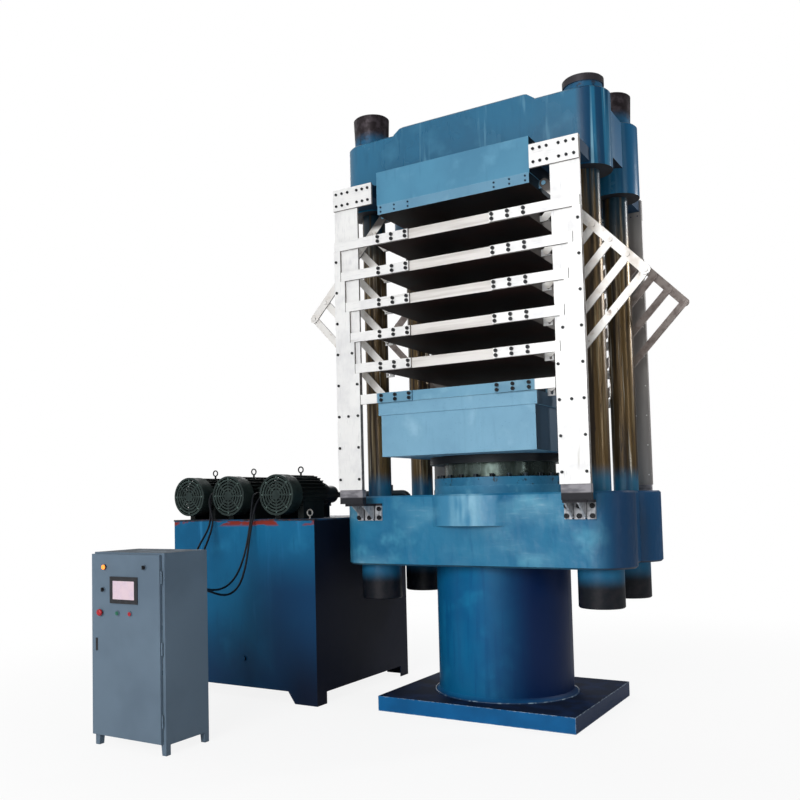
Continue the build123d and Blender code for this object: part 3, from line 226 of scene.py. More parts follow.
def layer(tree, mask, under, over):
    """The coat over shows where the mask is 1."""
    shown = {}
    for name in under:
        if under[name] == over[name]:
            shown[name] = under[name]
        elif name == "Base Color":
            shown[name] = add(tree, "Mix", {"data_type": "RGBA"},
                              {0: mask, 6: under[name], 7: over[name]}, 2)
        else:
            shown[name] = add(tree, "Mix", {}, {0: mask, 2: under[name], 3: over[name]})
    return shown


def share_along(tree, vector, axis, start, end, both_sides=False):
    """Mask that rises from 0 to 1 as the X, Y or Z of a vector goes from start to end."""
    value = add(tree, "SeparateXYZ", {}, {0: vector}, axis)
    if both_sides:
        value = add(tree, "Math", {"operation": "ABSOLUTE"}, {0: value})
    return add(tree, "MapRange", {"interpolation_type": "SMOOTHSTEP"}, {0: value, 1: start, 2: end})


def zone(tree, axis, start, end, both_sides=False):
    """Mask of places, from 0 at start to 1 at end along X, Y or Z of the object."""
    place = add(tree, "TexCoord", output="Object")
    return share_along(tree, place, axis, start, end, both_sides)


def facing(tree, axis, start, end):
    """Mask of the faces that turn towards an axis, or away from it where start and end are negative."""
    return share_along(tree, add(tree, "NewGeometry", output="Normal"), axis, start, end)


def square_to(tree, axis):
    """Mask of the faces that are square to an axis, on both sides of the piece."""
    share = add(tree, "SeparateXYZ", {}, {0: add(tree, "NewGeometry", output="Normal")}, axis)
    share = add(tree, "Math", {"operation": "ABSOLUTE"}, {0: share})
    return add(tree, "MapRange", {}, {0: share, 1: half_turned[0], 2: half_turned[1]})


def meet(tree, mask, *others):
    """Mask where all the masks meet."""
    for other in others:
        mask = add(tree, "Math", {"operation": "MULTIPLY"}, {0: mask, 1: other})
    return mask


def between(tree, axis, low, high):
    """Mask of the places between two values along X, Y or Z of the object."""
    above = zone(tree, axis, low - mm / 2, low + mm / 2)
    return meet(tree, above, zone(tree, axis, high + mm / 2, high - mm / 2))


def noise(tree, size, stretch=even, detail=3):
    """Cloudy pattern of a real size, drawn out along any axis."""
    place = add(tree, "TexCoord", output="Object")
    scaled = add(tree, "Mapping", {}, {0: place, "Scale": tuple(1 / (size * share) for share in stretch)})
    return add(tree, "TexNoise", {}, {"Vector": scaled, "Scale": 1.0, "Detail": detail})


def patches(tree, size, start, end, stretch=even, detail=3):
    """Mask of cloudy patches of a real size, wide where start and end are low."""
    value = noise(tree, size, stretch, detail)
    return add(tree, "MapRange", {"interpolation_type": "SMOOTHSTEP"}, {0: value, 1: start, 2: end})


def worn_edges(tree, width, start=0.03, end=0.3):
    """Mask of the sharp edges, broken up as rubbed paint is."""
    rounded = add(tree, "Bevel", {"samples": 4}, {"Radius": width})
    normal = add(tree, "NewGeometry", output="Normal")
    alike = add(tree, "VectorMath", {"operation": "DOT_PRODUCT"}, {0: rounded, 1: normal}, "Value")
    edge = add(tree, "MapRange", {}, {0: alike, 1: 1 - start, 2: 1 - end})
    return meet(tree, edge, patches(tree, 25 * mm, 0.35, 0.65))


def relief(tree, *waves):
    """Normal of a surface with waves on it, each a size, a height and how it is drawn out."""
    normal = add(tree, "NewGeometry", output="Normal")
    for size, height, stretch in waves:
        normal = add(tree, "Bump", {}, {"Strength": 1.0, "Distance": height, "Normal": normal,
                                        "Height": noise(tree, size, stretch)})
    return normal


def finish(name, build, specular):
    """A material whose coat and normal come from build, with one specular level all over."""
    material = bpy.data.materials.new(name)
    material.use_nodes = True
    tree = material.node_tree
    tree.nodes.clear()
    shown, normal = build(tree)
    shader = add(tree, "BsdfPrincipled", {}, {**shown, "Normal": normal, "Specular IOR Level": specular})
    tree.links.new(shader, tree.nodes.new("ShaderNodeOutputMaterial").inputs["Surface"])
    return material


# Paint: one blue machine enamel, sprayed on castings over filler and on steel plate

# Where the paint changes, as the start and end of each change in metres
# The pools and the collar's glint are painted highlights. The lower beam's right end and rear, the upper
# beam's right rear, the barrel's right and the tank's lower right, foot and corner are painted shade.
highlight_pools_end_x = (1.0, 0.8)
collar_face_y = (-0.685, -0.72)
collar_side_x = (0.29, 0.25)
collar_glint_x = (0.2, 0.02)
lower_dark_x = (0.9, 1.15)
lower_rear_y = (0.0, 0.2)
upper_boss_x = (0.93, 0.99)
upper_dark_x = (0.9, 1.12)
upper_rear_y = (-0.3, 0.1)
barrel_dark_x = (-0.02, 0.42)
neck_z = (1.753, 1.757)
base_plate_z = (0.16, 0.115)
gland_top_z = (1.8885, 1.8895)
tank_dark_x = (-2.25, -1.7)
tank_dark_z = (1.5, 0.9)
tank_foot_z = (0.8, 0.15)
tank_corner_x = (-1.95, -1.45)
tank_corner_z = (0.8, 0.05)
primer_z = (1.505, 1.535)
lid_eyes_z = (1.5755, 1.578)


def painted_underside_shade(tree, paint):
    """Painted shade: undersides of castings and plates painted near black, as the shade under them."""
    underside_shade = layer(tree, patches(tree, 150 * mm, 0.4, 0.65), coat("#0d0e13", 0.6), coat("#1a1f2a", 0.6))
    return layer(tree, facing(tree, "Z", *turned_down), paint, underside_shade)


def dusted(tree, paint, dust):
    """Dust and grime where paint faces up."""
    lying = meet(tree, facing(tree, "Z", *turned_up), patches(tree, 90 * mm, 0.3, 0.6))
    return layer(tree, lying, paint, dust)


def blue_enamel(tree, fresh, deep, pale, cloud=450 * mm, gloss=0.4):
    """Gloss enamel that has faded and soiled in clouds, with thin runs and rubbed edges."""
    paint = layer(tree, patches(tree, cloud, 0.35, 0.7), coat(fresh, gloss), coat(deep, gloss + 0.06))
    paint = layer(tree, patches(tree, cloud / 2, 0.52, 0.8), paint, coat(pale, gloss + 0.1))
    paint = layer(tree, patches(tree, 45 * mm, 0.55, 0.85, (1, 1, 7)), paint, coat(deep, gloss))
    paint = layer(tree, worn_edges(tree, 6 * mm), paint, coat(pale, 0.55))
    return dusted(tree, paint, coat(deep, 0.7))


def cast_beam_paint(tree):
    """Lower beam: gloss enamel over hand-laid filler, with pale pools of painted highlight, a collar front
    painted paler with a painted glint, and painted shade at its right end and underneath.
    """
    paint = blue_enamel(tree, "#27759b", "#176089", "#4593b2", 500 * mm, 0.3)
    # Painted highlight: pale pools and flecks on the front, where the glossy paint would reflect the light
    painted_highlight_pools = meet(tree, patches(tree, 300 * mm, 0.45, 0.95, (2, 2, 1), 2), zone(tree, "X", *highlight_pools_end_x))
    paint = layer(tree, painted_highlight_pools, paint, coat("#72b0c8", 0.3))
    pool_highlight_flecks = meet(tree, painted_highlight_pools, patches(tree, 26 * mm, 0.5, 0.9, (5, 5, 1)))
    paint = layer(tree, pool_highlight_flecks, paint, coat("#a9c8d6", 0.35))
    # Partly painted highlight: the collar's front is painted paler, and a pale upright glint down its
    # middle
    collar = meet(tree, zone(tree, "Y", *collar_face_y), zone(tree, "X", *collar_side_x, True))
    paint = layer(tree, collar, paint, coat("#3d83a8", 0.35))
    streaks = patches(tree, 100 * mm, 0.3, 0.6, (1, 1, 4), 2)
    painted_collar_glint = meet(tree, collar, streaks, zone(tree, "X", *collar_glint_x, True))
    paint = layer(tree, painted_collar_glint, paint, coat("#84b8d0", 0.3))
    # Painted shade: the right end and its rear are painted dark navy
    painted_shade = zone(tree, "X", *lower_dark_x)
    paint = layer(tree, painted_shade, paint, coat("#053458", 0.42))
    paint = layer(tree, meet(tree, painted_shade, zone(tree, "Y", *lower_rear_y)), paint, coat("#0b4169", 0.42))
    filler = relief(tree, (220 * mm, 20 * mm, (1, 1, 2)), (70 * mm, 3 * mm, even),
                    (6 * mm, 0.05 * mm, even))
    return painted_underside_shade(tree, paint), filler


def upper_beam_paint(tree):
    """Upper beam: the same enamel, smoother, with faint runs, painted upright glints and reflection bands
    on its right bosses, and painted shade on its left faces, right ends, right rear and underneath.
    """
    paint = blue_enamel(tree, "#276a8d", "#1f5f81", "#367899", gloss=0.24)
    paint = layer(tree, patches(tree, 70 * mm, 0.6, 0.8, upright), paint, coat("#5b93af", 0.4))
    bosses = zone(tree, "X", *upper_boss_x)
    # Painted reflections: dark upright bands and pale glints on the right bosses
    painted_reflection_bands = meet(tree, bosses, patches(tree, 80 * mm, 0.46, 0.54, full_height, 1))
    paint = layer(tree, painted_reflection_bands, paint, coat("#154263", 0.25))
    painted_glints = meet(tree, bosses, patches(tree, 55 * mm, 0.58, 0.68, full_height, 1))
    paint = layer(tree, painted_glints, paint, coat("#7aa9c0", 0.3))
    # Painted shade: faces turned to the left, the flat right ends and the right rear are painted darker
    paint = layer(tree, facing(tree, "X", *turned_left), paint, coat("#163d56", 0.4))
    paint = layer(tree, facing(tree, "X", *flat_right), paint, coat("#1c5578", 0.8))
    painted_rear_shade = meet(tree, zone(tree, "X", *upper_dark_x), zone(tree, "Y", *upper_rear_y))
    paint = layer(tree, painted_rear_shade, paint, coat("#1a5c85", 0.3))
    return painted_underside_shade(tree, paint), relief(tree, (300 * mm, 4 * mm, even), (6 * mm, 0.05 * mm, even))


def table_paint(tree):
    """Moving table: pale blue enamel on flame-cut plate, its right side painted darker, as grime and
    painted shade.
    """
    paint = blue_enamel(tree, "#79a8c2", "#6b99b4", "#8ebad0")
    paint = layer(tree, patches(tree, 14 * mm, 0.62, 0.8), paint, coat("#5586a3", 0.6))
    # Grime and painted shade: faces turned to the right are painted dark slate
    paint = layer(tree, facing(tree, "X", *turned_to), paint, coat("#40586d", 0.55))
    return paint, relief(tree, (200 * mm, 1 * mm, even), (5 * mm, 0.05 * mm, even))


def bolster_paint(tree):
    """Top bolster: blue enamel that is paler where it is rubbed, its right side painted black as shade."""
    paint = blue_enamel(tree, "#4f8baa", "#467e9d", "#619cba")
    # Painted shade: faces turned to the right are painted near black
    paint = layer(tree, facing(tree, "X", *turned_to), paint, coat("#0f1c28", 0.6))
    return paint, relief(tree, (240 * mm, 1 * mm, even), (5 * mm, 0.05 * mm, even))


def with_base_plate(tree, paint):
    """Adds the base plate's finish below a paint: blue, painted dark on the right as shade, trodden on top
    and chipped.
    """
    low = zone(tree, "Z", *base_plate_z)
    plate = layer(tree, patches(tree, 250 * mm, 0.35, 0.7), coat("#0f6199", 0.45), coat("#0c5588", 0.5))
    # Painted shade: faces turned to the right are painted dark navy
    plate = layer(tree, facing(tree, "X", *turned_to), plate, coat("#0b2547", 0.5))
    grime = layer(tree, patches(tree, 160 * mm, 0.4, 0.65), coat("#030e26", 0.85), coat("#091e40", 0.85))
    paint = layer(tree, low, paint, plate)
    paint = layer(tree, meet(tree, low, facing(tree, "Z", *turned_to)), paint, grime)
    return layer(tree, meet(tree, low, worn_edges(tree, 12 * mm)), paint, coat("#b5c9d9", 0.5))


def cylinder_paint(tree):
    """Cylinder: deep glossy blue, streaked, with painted shade towards the right, pale at the neck."""
    paint = blue_enamel(tree, "#0e6593", "#0b5888", "#15709d", gloss=0.3)
    paint = layer(tree, patches(tree, 40 * mm, 0.5, 0.8, upright), paint, coat("#0b5283", 0.3))
    # Painted shade: the barrel is painted dark navy towards its right
    paint = layer(tree, zone(tree, "X", *barrel_dark_x), paint, coat("#04204a", 0.45))
    neck = blue_enamel(tree, "#3d83a6", "#2c6d91", "#5b9ab8", 200 * mm)
    paint = layer(tree, zone(tree, "Z", *neck_z), paint, neck)
    paint = with_base_plate(tree, paint)
    return paint, relief(tree, (180 * mm, 2 * mm, even), (5 * mm, 0.05 * mm, even))


def gland_finish(tree):
    """Gland ring: painted like the cylinder's neck, with oily black screws and lip on top."""
    paint = blue_enamel(tree, "#307a9e", "#226689", "#4992b2", 300 * mm)
    paint = layer(tree, patches(tree, 45 * mm, 0.58, 0.68), paint, coat("#254150", 0.45))
    oily = layer(tree, patches(tree, 50 * mm, 0.4, 0.7),
                 coat("#11151a", 0.35, 0.4), coat("#2e3f49", 0.4, 0.4))
    paint = layer(tree, zone(tree, "Z", *gland_top_z), paint, oily)
    return paint, relief(tree, (30 * mm, 0.3 * mm, even))


def tank_paint(tree):
    """Oil tank: bright blue with painted shade going to dark navy towards the lower right and the bottom,
    near black on its right side, with bare red primer under the lid's front edge.
    """
    paint = blue_enamel(tree, "#12648f", "#0f5881", "#1e749f", 600 * mm)
    paint = layer(tree, patches(tree, 90 * mm, 0.6, 0.8, upright), paint, coat("#2f80b2", 0.35))
    # Painted shade: darker towards the lower right and towards the bottom, broken up in clouds
    right = meet(tree, zone(tree, "X", *tank_dark_x), zone(tree, "Z", *tank_dark_z))
    painted_shade = add(tree, "Math", {"operation": "MAXIMUM"}, {0: right, 1: zone(tree, "Z", *tank_foot_z)})
    painted_shade = meet(tree, painted_shade, patches(tree, 800 * mm, 0.05, 0.45))
    paint = layer(tree, painted_shade, paint, coat("#103c62", 0.42))
    # Painted shade: the bottom right corner is painted darker still
    painted_corner_shade = meet(tree, zone(tree, "X", *tank_corner_x), zone(tree, "Z", *tank_corner_z))
    paint = layer(tree, painted_corner_shade, paint, coat("#0a1930", 0.5))
    # Painted shade: faces turned to the right are painted near black
    paint = layer(tree, facing(tree, "X", *turned_to), paint, coat("#0c1224", 0.5))
    primer = meet(tree, zone(tree, "Z", *primer_z), facing(tree, "Y", *turned_from),
                  patches(tree, 280 * mm, 0.5, 0.56, (1, 1, 0.4)))
    paint = layer(tree, primer, paint, coat("#832e24", 0.7))
    return paint, relief(tree, (400 * mm, 4 * mm, even), (5 * mm, 0.05 * mm, even))


def lid_paint(tree):
    """Tank lid: trodden paint with oil, dust and a little red primer, and bare steel eyes."""
    paint = layer(tree, patches(tree, 200 * mm, 0.4, 0.6), coat("#1c2127", 0.5), coat("#12466b", 0.45))
    paint = layer(tree, patches(tree, 160 * mm, 0.56, 0.66, detail=6), paint, coat("#5d2a25", 0.7))
    paint = layer(tree, worn_edges(tree, 4 * mm), paint, coat("#7d5146", 0.6))
    bare = layer(tree, patches(tree, 20 * mm, 0.4, 0.7),
                 coat("#9b9b99", 0.4, 0.6), coat("#6b6864", 0.5, 0.4))
    paint = layer(tree, zone(tree, "Z", *lid_eyes_z), paint, bare)
    return paint, relief(tree, (30 * mm, 0.3 * mm, even))


def pump_paint(tree):
    """Pumps, pipes and valve block: near-black oily enamel with bare patches."""
    paint = layer(tree, patches(tree, 100 * mm, 0.4, 0.65), coat("#12161b", 0.4), coat("#1d2a33", 0.5))
    paint = layer(tree, worn_edges(tree, 4 * mm), paint, coat("#6f7478", 0.4, 0.8))
    return paint, relief(tree, (20 * mm, 0.3 * mm, even))


# Motors

# Axes of the motors, and the radii between which each cowl's ring of painted highlight comes up and goes
# again
motor_axes = ((-2.760, 0, 1.788), (-2.290, 0, 1.788), (-1.750, 0, 1.788))
rim_highlight_inner_r = (146 * mm, 149 * mm)
rim_highlight_outer_r = (162 * mm, 158 * mm)


def motor_paint(tree):
    """Cast iron motor housings: thin dark green enamel, dusty between the fins."""
    paint = layer(tree, patches(tree, 120 * mm, 0.4, 0.65), coat("#0f1414", 0.5), coat("#182120", 0.6))
    paint = layer(tree, worn_edges(tree, 3 * mm), paint, coat("#38423f", 0.55))
    return dusted(tree, paint, coat("#1f2624", 0.8)), relief(tree, (8 * mm, 0.3 * mm, even))


def ring(tree, middle):
    """Mask of the ring of painted highlight round one motor's axis, which runs along Y."""
    place = add(tree, "TexCoord", output="Object")
    flat = add(tree, "VectorMath", {"operation": "MULTIPLY"}, {0: place, 1: (1, 0, 1)})
    far = add(tree, "VectorMath", {"operation": "DISTANCE"}, {0: flat, 1: middle}, "Value")
    inner = add(tree, "MapRange", {}, {0: far, 1: rim_highlight_inner_r[0], 2: rim_highlight_inner_r[1]})
    return meet(tree, inner, add(tree, "MapRange", {}, {0: far, 1: rim_highlight_outer_r[0], 2: rim_highlight_outer_r[1]}))


def cowl_paint(tree):
    """Pressed steel fan cowls: green enamel with a ring of painted highlight on the front rim, rubbed rims
    and dusty slots.
    """
    paint = layer(tree, patches(tree, 90 * mm, 0.35, 0.6), coat("#1d2928", 0.45), coat("#283533", 0.5))
    for middle in motor_axes:
        # Painted highlight: a pale ring where each cowl's rounded front rim would catch the light
        paint = layer(tree, ring(tree, middle), paint, coat("#586b66", 0.5))
    paint = layer(tree, worn_edges(tree, 6 * mm, 0.02, 0.2), paint, coat("#55635f", 0.5))
    paint = layer(tree, patches(tree, 22 * mm, 0.55, 0.75), paint, coat("#1a2525", 0.5))
    return dusted(tree, paint, coat("#3a4340", 0.8)), relief(tree, (6 * mm, 0.1 * mm, even))


def fan_finish(tree):
    """Cast aluminium fan on a turned steel shaft, dulled by dust."""
    metal = layer(tree, patches(tree, 40 * mm, 0.4, 0.7),
                  coat("#4b5053", 0.5, 0.5), coat("#26292c", 0.7, 0.2))
    return metal, relief(tree, (5 * mm, 0.1 * mm, even))


# Steel

# Where the steel's finish changes, as the start and end of each change in metres
# The rear guides are painted darker as shade, the rear levers and links with grime and painted shade
rear_y = (-0.1, 0.1)
upper_half_z = (3.0, 3.1)
arm_screw_y = (0.9202, 0.9208)
bare_arm_x = (0.655, 0.672)
top_screw_y = (0.8602, 0.8608)
head_block_z = (4.15, 4.16)
head_block_y = (0.8978, 0.8974)
head_screw_y = (0.9184, 0.9188)
foot_z = (1.82, 1.81)
foot_below_z = (1.752, 1.74)
bracket_z = (1.6745, 1.6735)
bracket_screw_from_y = (0.6953, 0.6958)
bracket_screw_to_y = (0.7098, 0.7093)
column_foot_z = (1.98, 1.82)
column_head_z = (3.6, 4.14)
lower_nut_z = (1.02, 1.16)
upper_nut_z = (4.95, 4.84)
short_nut_x = (0.5, 0.6)
short_nut_y = (-0.3, -0.4)
short_nut_rim_z = (4.872, 4.88)
ram_head_z = (2.004, 2.008)
lever_top_z = (4.0, 4.05)


def ground_steel(tree, stretch):
    """Ground mild steel: bright, with fine grinding lines, handling marks and a few dull scratches."""
    steel = layer(tree, patches(tree, 140 * mm, 0.4, 0.75),
                  coat("#ececeb", 0.45, 0.2), coat("#dcdcdd", 0.5, 0.2))
    steel = layer(tree, patches(tree, 8 * mm, 0.55, 0.85, stretch), steel, coat("#c6c7ca", 0.42, 0.3))
    return layer(tree, patches(tree, 60 * mm, 0.66, 0.78, stretch), steel, coat("#aaa59d", 0.5, 0.3))


def cut_sides(tree, ground):
    """Flame-cut sides of a plate that is ground on its front and back only: dull and brown-grey."""
    cut = layer(tree, patches(tree, 30 * mm, 0.4, 0.7),
                coat("#6f6c6b", 0.55, 0.2), coat("#8a8682", 0.5, 0.2))
    return layer(tree, square_to(tree, "Y"), cut, ground)


def black_screws(tree, mask, steel):
    """Black oxide socket screws with bare rims, on another finish."""
    screws = layer(tree, worn_edges(tree, 2 * mm), coat("#121317", 0.45, 0.3), coat("#4c4f54", 0.4, 0.6))
    return layer(tree, mask, steel, screws)


def guide_steel(tree):
    """Guide plates: ground the length of the press, the rear ones painted duller and darker as shade."""
    steel = cut_sides(tree, ground_steel(tree, upright))
    # Painted shade: the rear guides are painted a duller, darker grey
    dull = layer(tree, patches(tree, 120 * mm, 0.4, 0.7, upright),
                 coat("#8f8c8a", 0.55, 0.2), coat("#a3a09d", 0.5, 0.2))
    steel = layer(tree, zone(tree, "Y", *rear_y), steel, dull)
    return steel, relief(tree, (3 * mm, 0.02 * mm, upright))


def step_steel(tree):
    """Stepped plates with their screws."""
    steel = cut_sides(tree, ground_steel(tree, upright))
    steel = black_screws(tree, zone(tree, "Y", *arm_screw_y, True), steel)
    return steel, relief(tree, (3 * mm, 0.02 * mm, upright))


def bracket_finish(tree):
    """Guide heads and feet: bright head plates, blue blocks, grey feet, pale brackets and black screws."""
    shown = cut_sides(tree, ground_steel(tree, lengthways))
    heads = zone(tree, "Z", *head_block_z)
    blocks = meet(tree, heads, zone(tree, "Y", *head_block_y, True))
    shown = layer(tree, blocks, shown, coat("#0d3450", 0.7))
    shown = black_screws(tree, meet(tree, heads, zone(tree, "Y", *head_screw_y, True)), shown)
    foot = layer(tree, patches(tree, 40 * mm, 0.4, 0.65, (3, 3, 1)),
                 coat("#8f8d92", 0.55, 0.2), coat("#6a696f", 0.6, 0.2))
    foot = layer(tree, zone(tree, "Z", *foot_below_z), foot, coat("#1f1f25", 0.65))
    shown = layer(tree, zone(tree, "Z", *foot_z), shown, foot)
    low = zone(tree, "Z", *bracket_z)
    bracket = layer(tree, patches(tree, 30 * mm, 0.4, 0.7),
                    coat("#b7b9bd", 0.5, 0.3), coat("#8b8e93", 0.6, 0.3))
    shown = layer(tree, low, shown, bracket)
    screws = meet(tree, low, zone(tree, "Y", *bracket_screw_from_y, True),
                  zone(tree, "Y", *bracket_screw_to_y, True))
    return black_screws(tree, screws, shown), relief(tree, (20 * mm, 0.2 * mm, even))


def arm_steel(tree):
    """Arms, slotted lugs and screws of a heated plate."""
    steel = cut_sides(tree, ground_steel(tree, lengthways))
    steel = black_screws(tree, zone(tree, "Y", *arm_screw_y, True), steel)
    return steel, relief(tree, (3 * mm, 0.02 * mm, lengthways))


def table_arm_finish(tree):
    """Table arms: blue where they lie on the table, bare beyond it."""
    blue = blue_enamel(tree, "#6794ad", "#5986a0", "#7fa9be")
    bare = cut_sides(tree, ground_steel(tree, lengthways))
    shown = layer(tree, zone(tree, "X", *bare_arm_x, True), blue, bare)
    shown = black_screws(tree, zone(tree, "Y", *arm_screw_y, True), shown)
    return shown, relief(tree, (3 * mm, 0.02 * mm, lengthways))


def heated_steel(tree):
    """Heated plates: bright ground edges, a right side painted darker as shade, faces dark from heat,
    release agent and painted shade.
    """
    edge = layer(tree, patches(tree, 40 * mm, 0.4, 0.75, lengthways),
                 coat("#dad7d4", 0.45, 0.2), coat("#c3bfbb", 0.5, 0.2))
    # Partly painted shade: the top and bottom faces are painted near black, as well as browned by heat
    face = layer(tree, patches(tree, 300 * mm, 0.35, 0.65), coat("#151112", 0.6), coat("#2c1a17", 0.65))
    shown = layer(tree, square_to(tree, "Z"), edge, face)
    # Painted shade: faces turned to the right are painted darker grey
    shown = layer(tree, facing(tree, "X", *half_turned), shown, coat("#57524f", 0.5, 0.2))
    return shown, relief(tree, (3 * mm, 0.02 * mm, lengthways), (90 * mm, 0.3 * mm, even))


def painted_heated_plate(tree):
    """Heated plates at the top and on the table: blue edges, a right side painted dark as shade, faces
    dark with heat and painted shade, dark screws at the top.
    """
    upper = zone(tree, "Z", *upper_half_z)
    blue = layer(tree, upper, blue_enamel(tree, "#71a2bc", "#6293ae", "#88b6cc"),
                 blue_enamel(tree, "#6694af", "#5a88a4", "#84adc5"))
    # Painted shade: faces turned to the right are painted near black
    blue = layer(tree, facing(tree, "X", *turned_to), blue, coat("#1a2833", 0.6))
    # Partly painted shade: the top and bottom faces are painted near black, as well as browned by heat
    face = layer(tree, patches(tree, 300 * mm, 0.35, 0.65), coat("#110f11", 0.6), coat("#271a16", 0.65))
    shown = layer(tree, square_to(tree, "Z"), blue, face)
    screws = meet(tree, upper, zone(tree, "Y", *top_screw_y, True))
    return layer(tree, screws, shown, coat("#182c3e", 0.4, 0.3)), relief(tree, (90 * mm, 0.3 * mm, even))


def column_steel(tree):
    """Columns: turned steel browned by old oil, with pale upright streaks of painted reflection,
    oversprayed blue at both ends.
    """
    steel = layer(tree, patches(tree, 38 * mm, 0.38, 0.62, full_height),
                  coat("#6e5836", 0.32, 0.5), coat("#33291e", 0.36, 0.5))
    # Painted reflections: gold and near-white upright streaks
    steel = layer(tree, patches(tree, 26 * mm, 0.55, 0.7, full_height), steel, coat("#9a8a6c", 0.3, 0.5))
    steel = layer(tree, patches(tree, 30 * mm, 0.6, 0.72, full_height), steel, coat("#d6d2c4", 0.3, 0.3))
    steel = layer(tree, patches(tree, 12 * mm, 0.6, 0.72, upright), steel, coat("#2a211a", 0.4, 0.3))
    head = meet(tree, zone(tree, "Z", *column_head_z), patches(tree, 30 * mm, 0.3, 0.55, full_height))
    steel = layer(tree, head, steel, coat("#10303f", 0.3))
    spray = layer(tree, patches(tree, 40 * mm, 0.4, 0.7, upright),
                  coat("#1f6a8c", 0.4), coat("#174f74", 0.4))
    steel = layer(tree, zone(tree, "Z", *column_foot_z), steel, spray)
    return steel, relief(tree, (2 * mm, 0.01 * mm, (12, 12, 1)), (60 * mm, 0.1 * mm, upright))


def nut_finish(tree):
    """Column nuts: lower ones blue that fades into black towards the bottom, upper ones browned, blue at
    the foot.
    """
    low = layer(tree, patches(tree, 60 * mm, 0.4, 0.7), coat("#0f141b", 0.45), coat("#1d1c22", 0.5))
    low = layer(tree, zone(tree, "Z", *lower_nut_z), low, coat("#1d6288", 0.4))
    high = layer(tree, patches(tree, 50 * mm, 0.4, 0.7),
                 coat("#2b2528", 0.4, 0.4), coat("#4a4348", 0.35, 0.4))
    ragged = meet(tree, zone(tree, "Z", *upper_nut_z), patches(tree, 45 * mm, 0.25, 0.5))
    high = layer(tree, ragged, high, coat("#235c80", 0.42))
    rim = meet(tree, zone(tree, "X", *short_nut_x), zone(tree, "Y", *short_nut_y),
               zone(tree, "Z", *short_nut_rim_z))
    high = layer(tree, rim, high, coat("#3d3a3e", 0.45, 0.4))
    return layer(tree, zone(tree, "Z", *upper_half_z), low, high), relief(tree, (40 * mm, 0.4 * mm, even))


def ram_steel(tree):
    """Ram: hard ground steel under an oil film, its head dark."""
    steel = layer(tree, patches(tree, 60 * mm, 0.4, 0.7, (1, 1, 3)),
                  coat("#5e6c68", 0.25, 0.8), coat("#39453f", 0.35, 0.7))
    steel = layer(tree, zone(tree, "Z", *ram_head_z), steel, coat("#151a1f", 0.5, 0.3))
    return steel, relief(tree, (3 * mm, 0.01 * mm, (6, 6, 1)))


def linkage_steel(tree):
    """Levers and links: bright flat bars with brown handling marks, the rear ones darker all over with
    grime and painted shade, their top ends painted dark as shade.
    """
    steel = layer(tree, patches(tree, 90 * mm, 0.45, 0.75),
                  coat("#e6e4e1", 0.45, 0.2), coat("#cfc8c0", 0.5, 0.2))
    steel = layer(tree, patches(tree, 45 * mm, 0.64, 0.76), steel, coat("#a3948a", 0.55, 0.2))
    # Grime and painted shade: the rear levers and links are painted brown-grey
    grime_and_shade = layer(tree, patches(tree, 60 * mm, 0.4, 0.7),
                  coat("#9b918c", 0.55, 0.2), coat("#7c6f6b", 0.6, 0.1))
    steel = layer(tree, zone(tree, "Y", *rear_y), cut_sides(tree, steel), grime_and_shade)
    # Painted shade: the levers' top ends are painted dark
    steel = layer(tree, zone(tree, "Z", *lever_top_z), steel, coat("#45413f", 0.4, 0.5))
    steel = layer(tree, worn_edges(tree, 3 * mm), steel, coat("#8d8a86", 0.5, 0.4))
    return steel, relief(tree, (4 * mm, 0.03 * mm, even))


# Control cabinet

# Where the inside, the panel, the switchgear and the display begin and end, in metres
inside_x = (-2.085, -1.475)
inside_z = (0.108, 1.347)
panel_y = (-2.1885, -2.1825)
device_y = (-2.2585, -2.1875)
device_rows_z = (0.4645, 0.7932, 1.122)
terminal_height = 34 * mm
display_x = (-1.910, -1.700)
display_z = (1.053, 1.183)


def cabinet_paint(tree):
    """Powder coat on sheet steel, with a galvanised panel and pale switchgear inside."""
    paint = layer(tree, patches(tree, 500 * mm, 0.4, 0.7), coat("#627484", 0.5), coat("#5a6b7b", 0.55))
    paint = layer(tree, worn_edges(tree, 2 * mm), paint, coat("#3d4752", 0.5))
    paint = dusted(tree, paint, coat("#5a626a", 0.8))
    inside = meet(tree, between(tree, "X", *inside_x), between(tree, "Z", *inside_z))
    panel = layer(tree, patches(tree, 60 * mm, 0.4, 0.7),
                  coat("#a9a9a4", 0.5, 0.3), coat("#93948f", 0.6, 0.3))
    paint = layer(tree, meet(tree, inside, between(tree, "Y", *panel_y)), paint, panel)
    device = layer(tree, patches(tree, 30 * mm, 0.4, 0.6, (1, 1, 3)),
                   coat("#d9d8d2", 0.45), coat("#c2c1ba", 0.5))
    for row_z in device_rows_z:
        terminals = between(tree, "Z", row_z, row_z + terminal_height)
        device = layer(tree, terminals, device, coat("#26282d", 0.5))
    paint = layer(tree, meet(tree, inside, between(tree, "Y", *device_y)), paint, device)
    return paint, relief(tree, (2 * mm, 0.03 * mm, even))


def screen_finish(tree):
    """Touch screen: black moulded bezel round a lit pale pink display."""
    bezel = layer(tree, patches(tree, 30 * mm, 0.4, 0.7), coat("#1e1f23", 0.45), coat("#2b2d32", 0.5))
    glass = layer(tree, patches(tree, 50 * mm, 0.4, 0.7), coat("#dcc6d0", 0.25), coat("#cfbbca", 0.3))
    display = meet(tree, between(tree, "X", *display_x), between(tree, "Z", *display_z))
    return layer(tree, display, bezel, glass), relief(tree, (1 * mm, 0.005 * mm, even))


def moulded(tree, fresh, dull):
    """Moulded plastic with fine texture and finger marks."""
    plastic = layer(tree, patches(tree, 12 * mm, 0.4, 0.7), coat(fresh, 0.35), coat(dull, 0.5))
    return plastic, relief(tree, (1 * mm, 0.01 * mm, even))


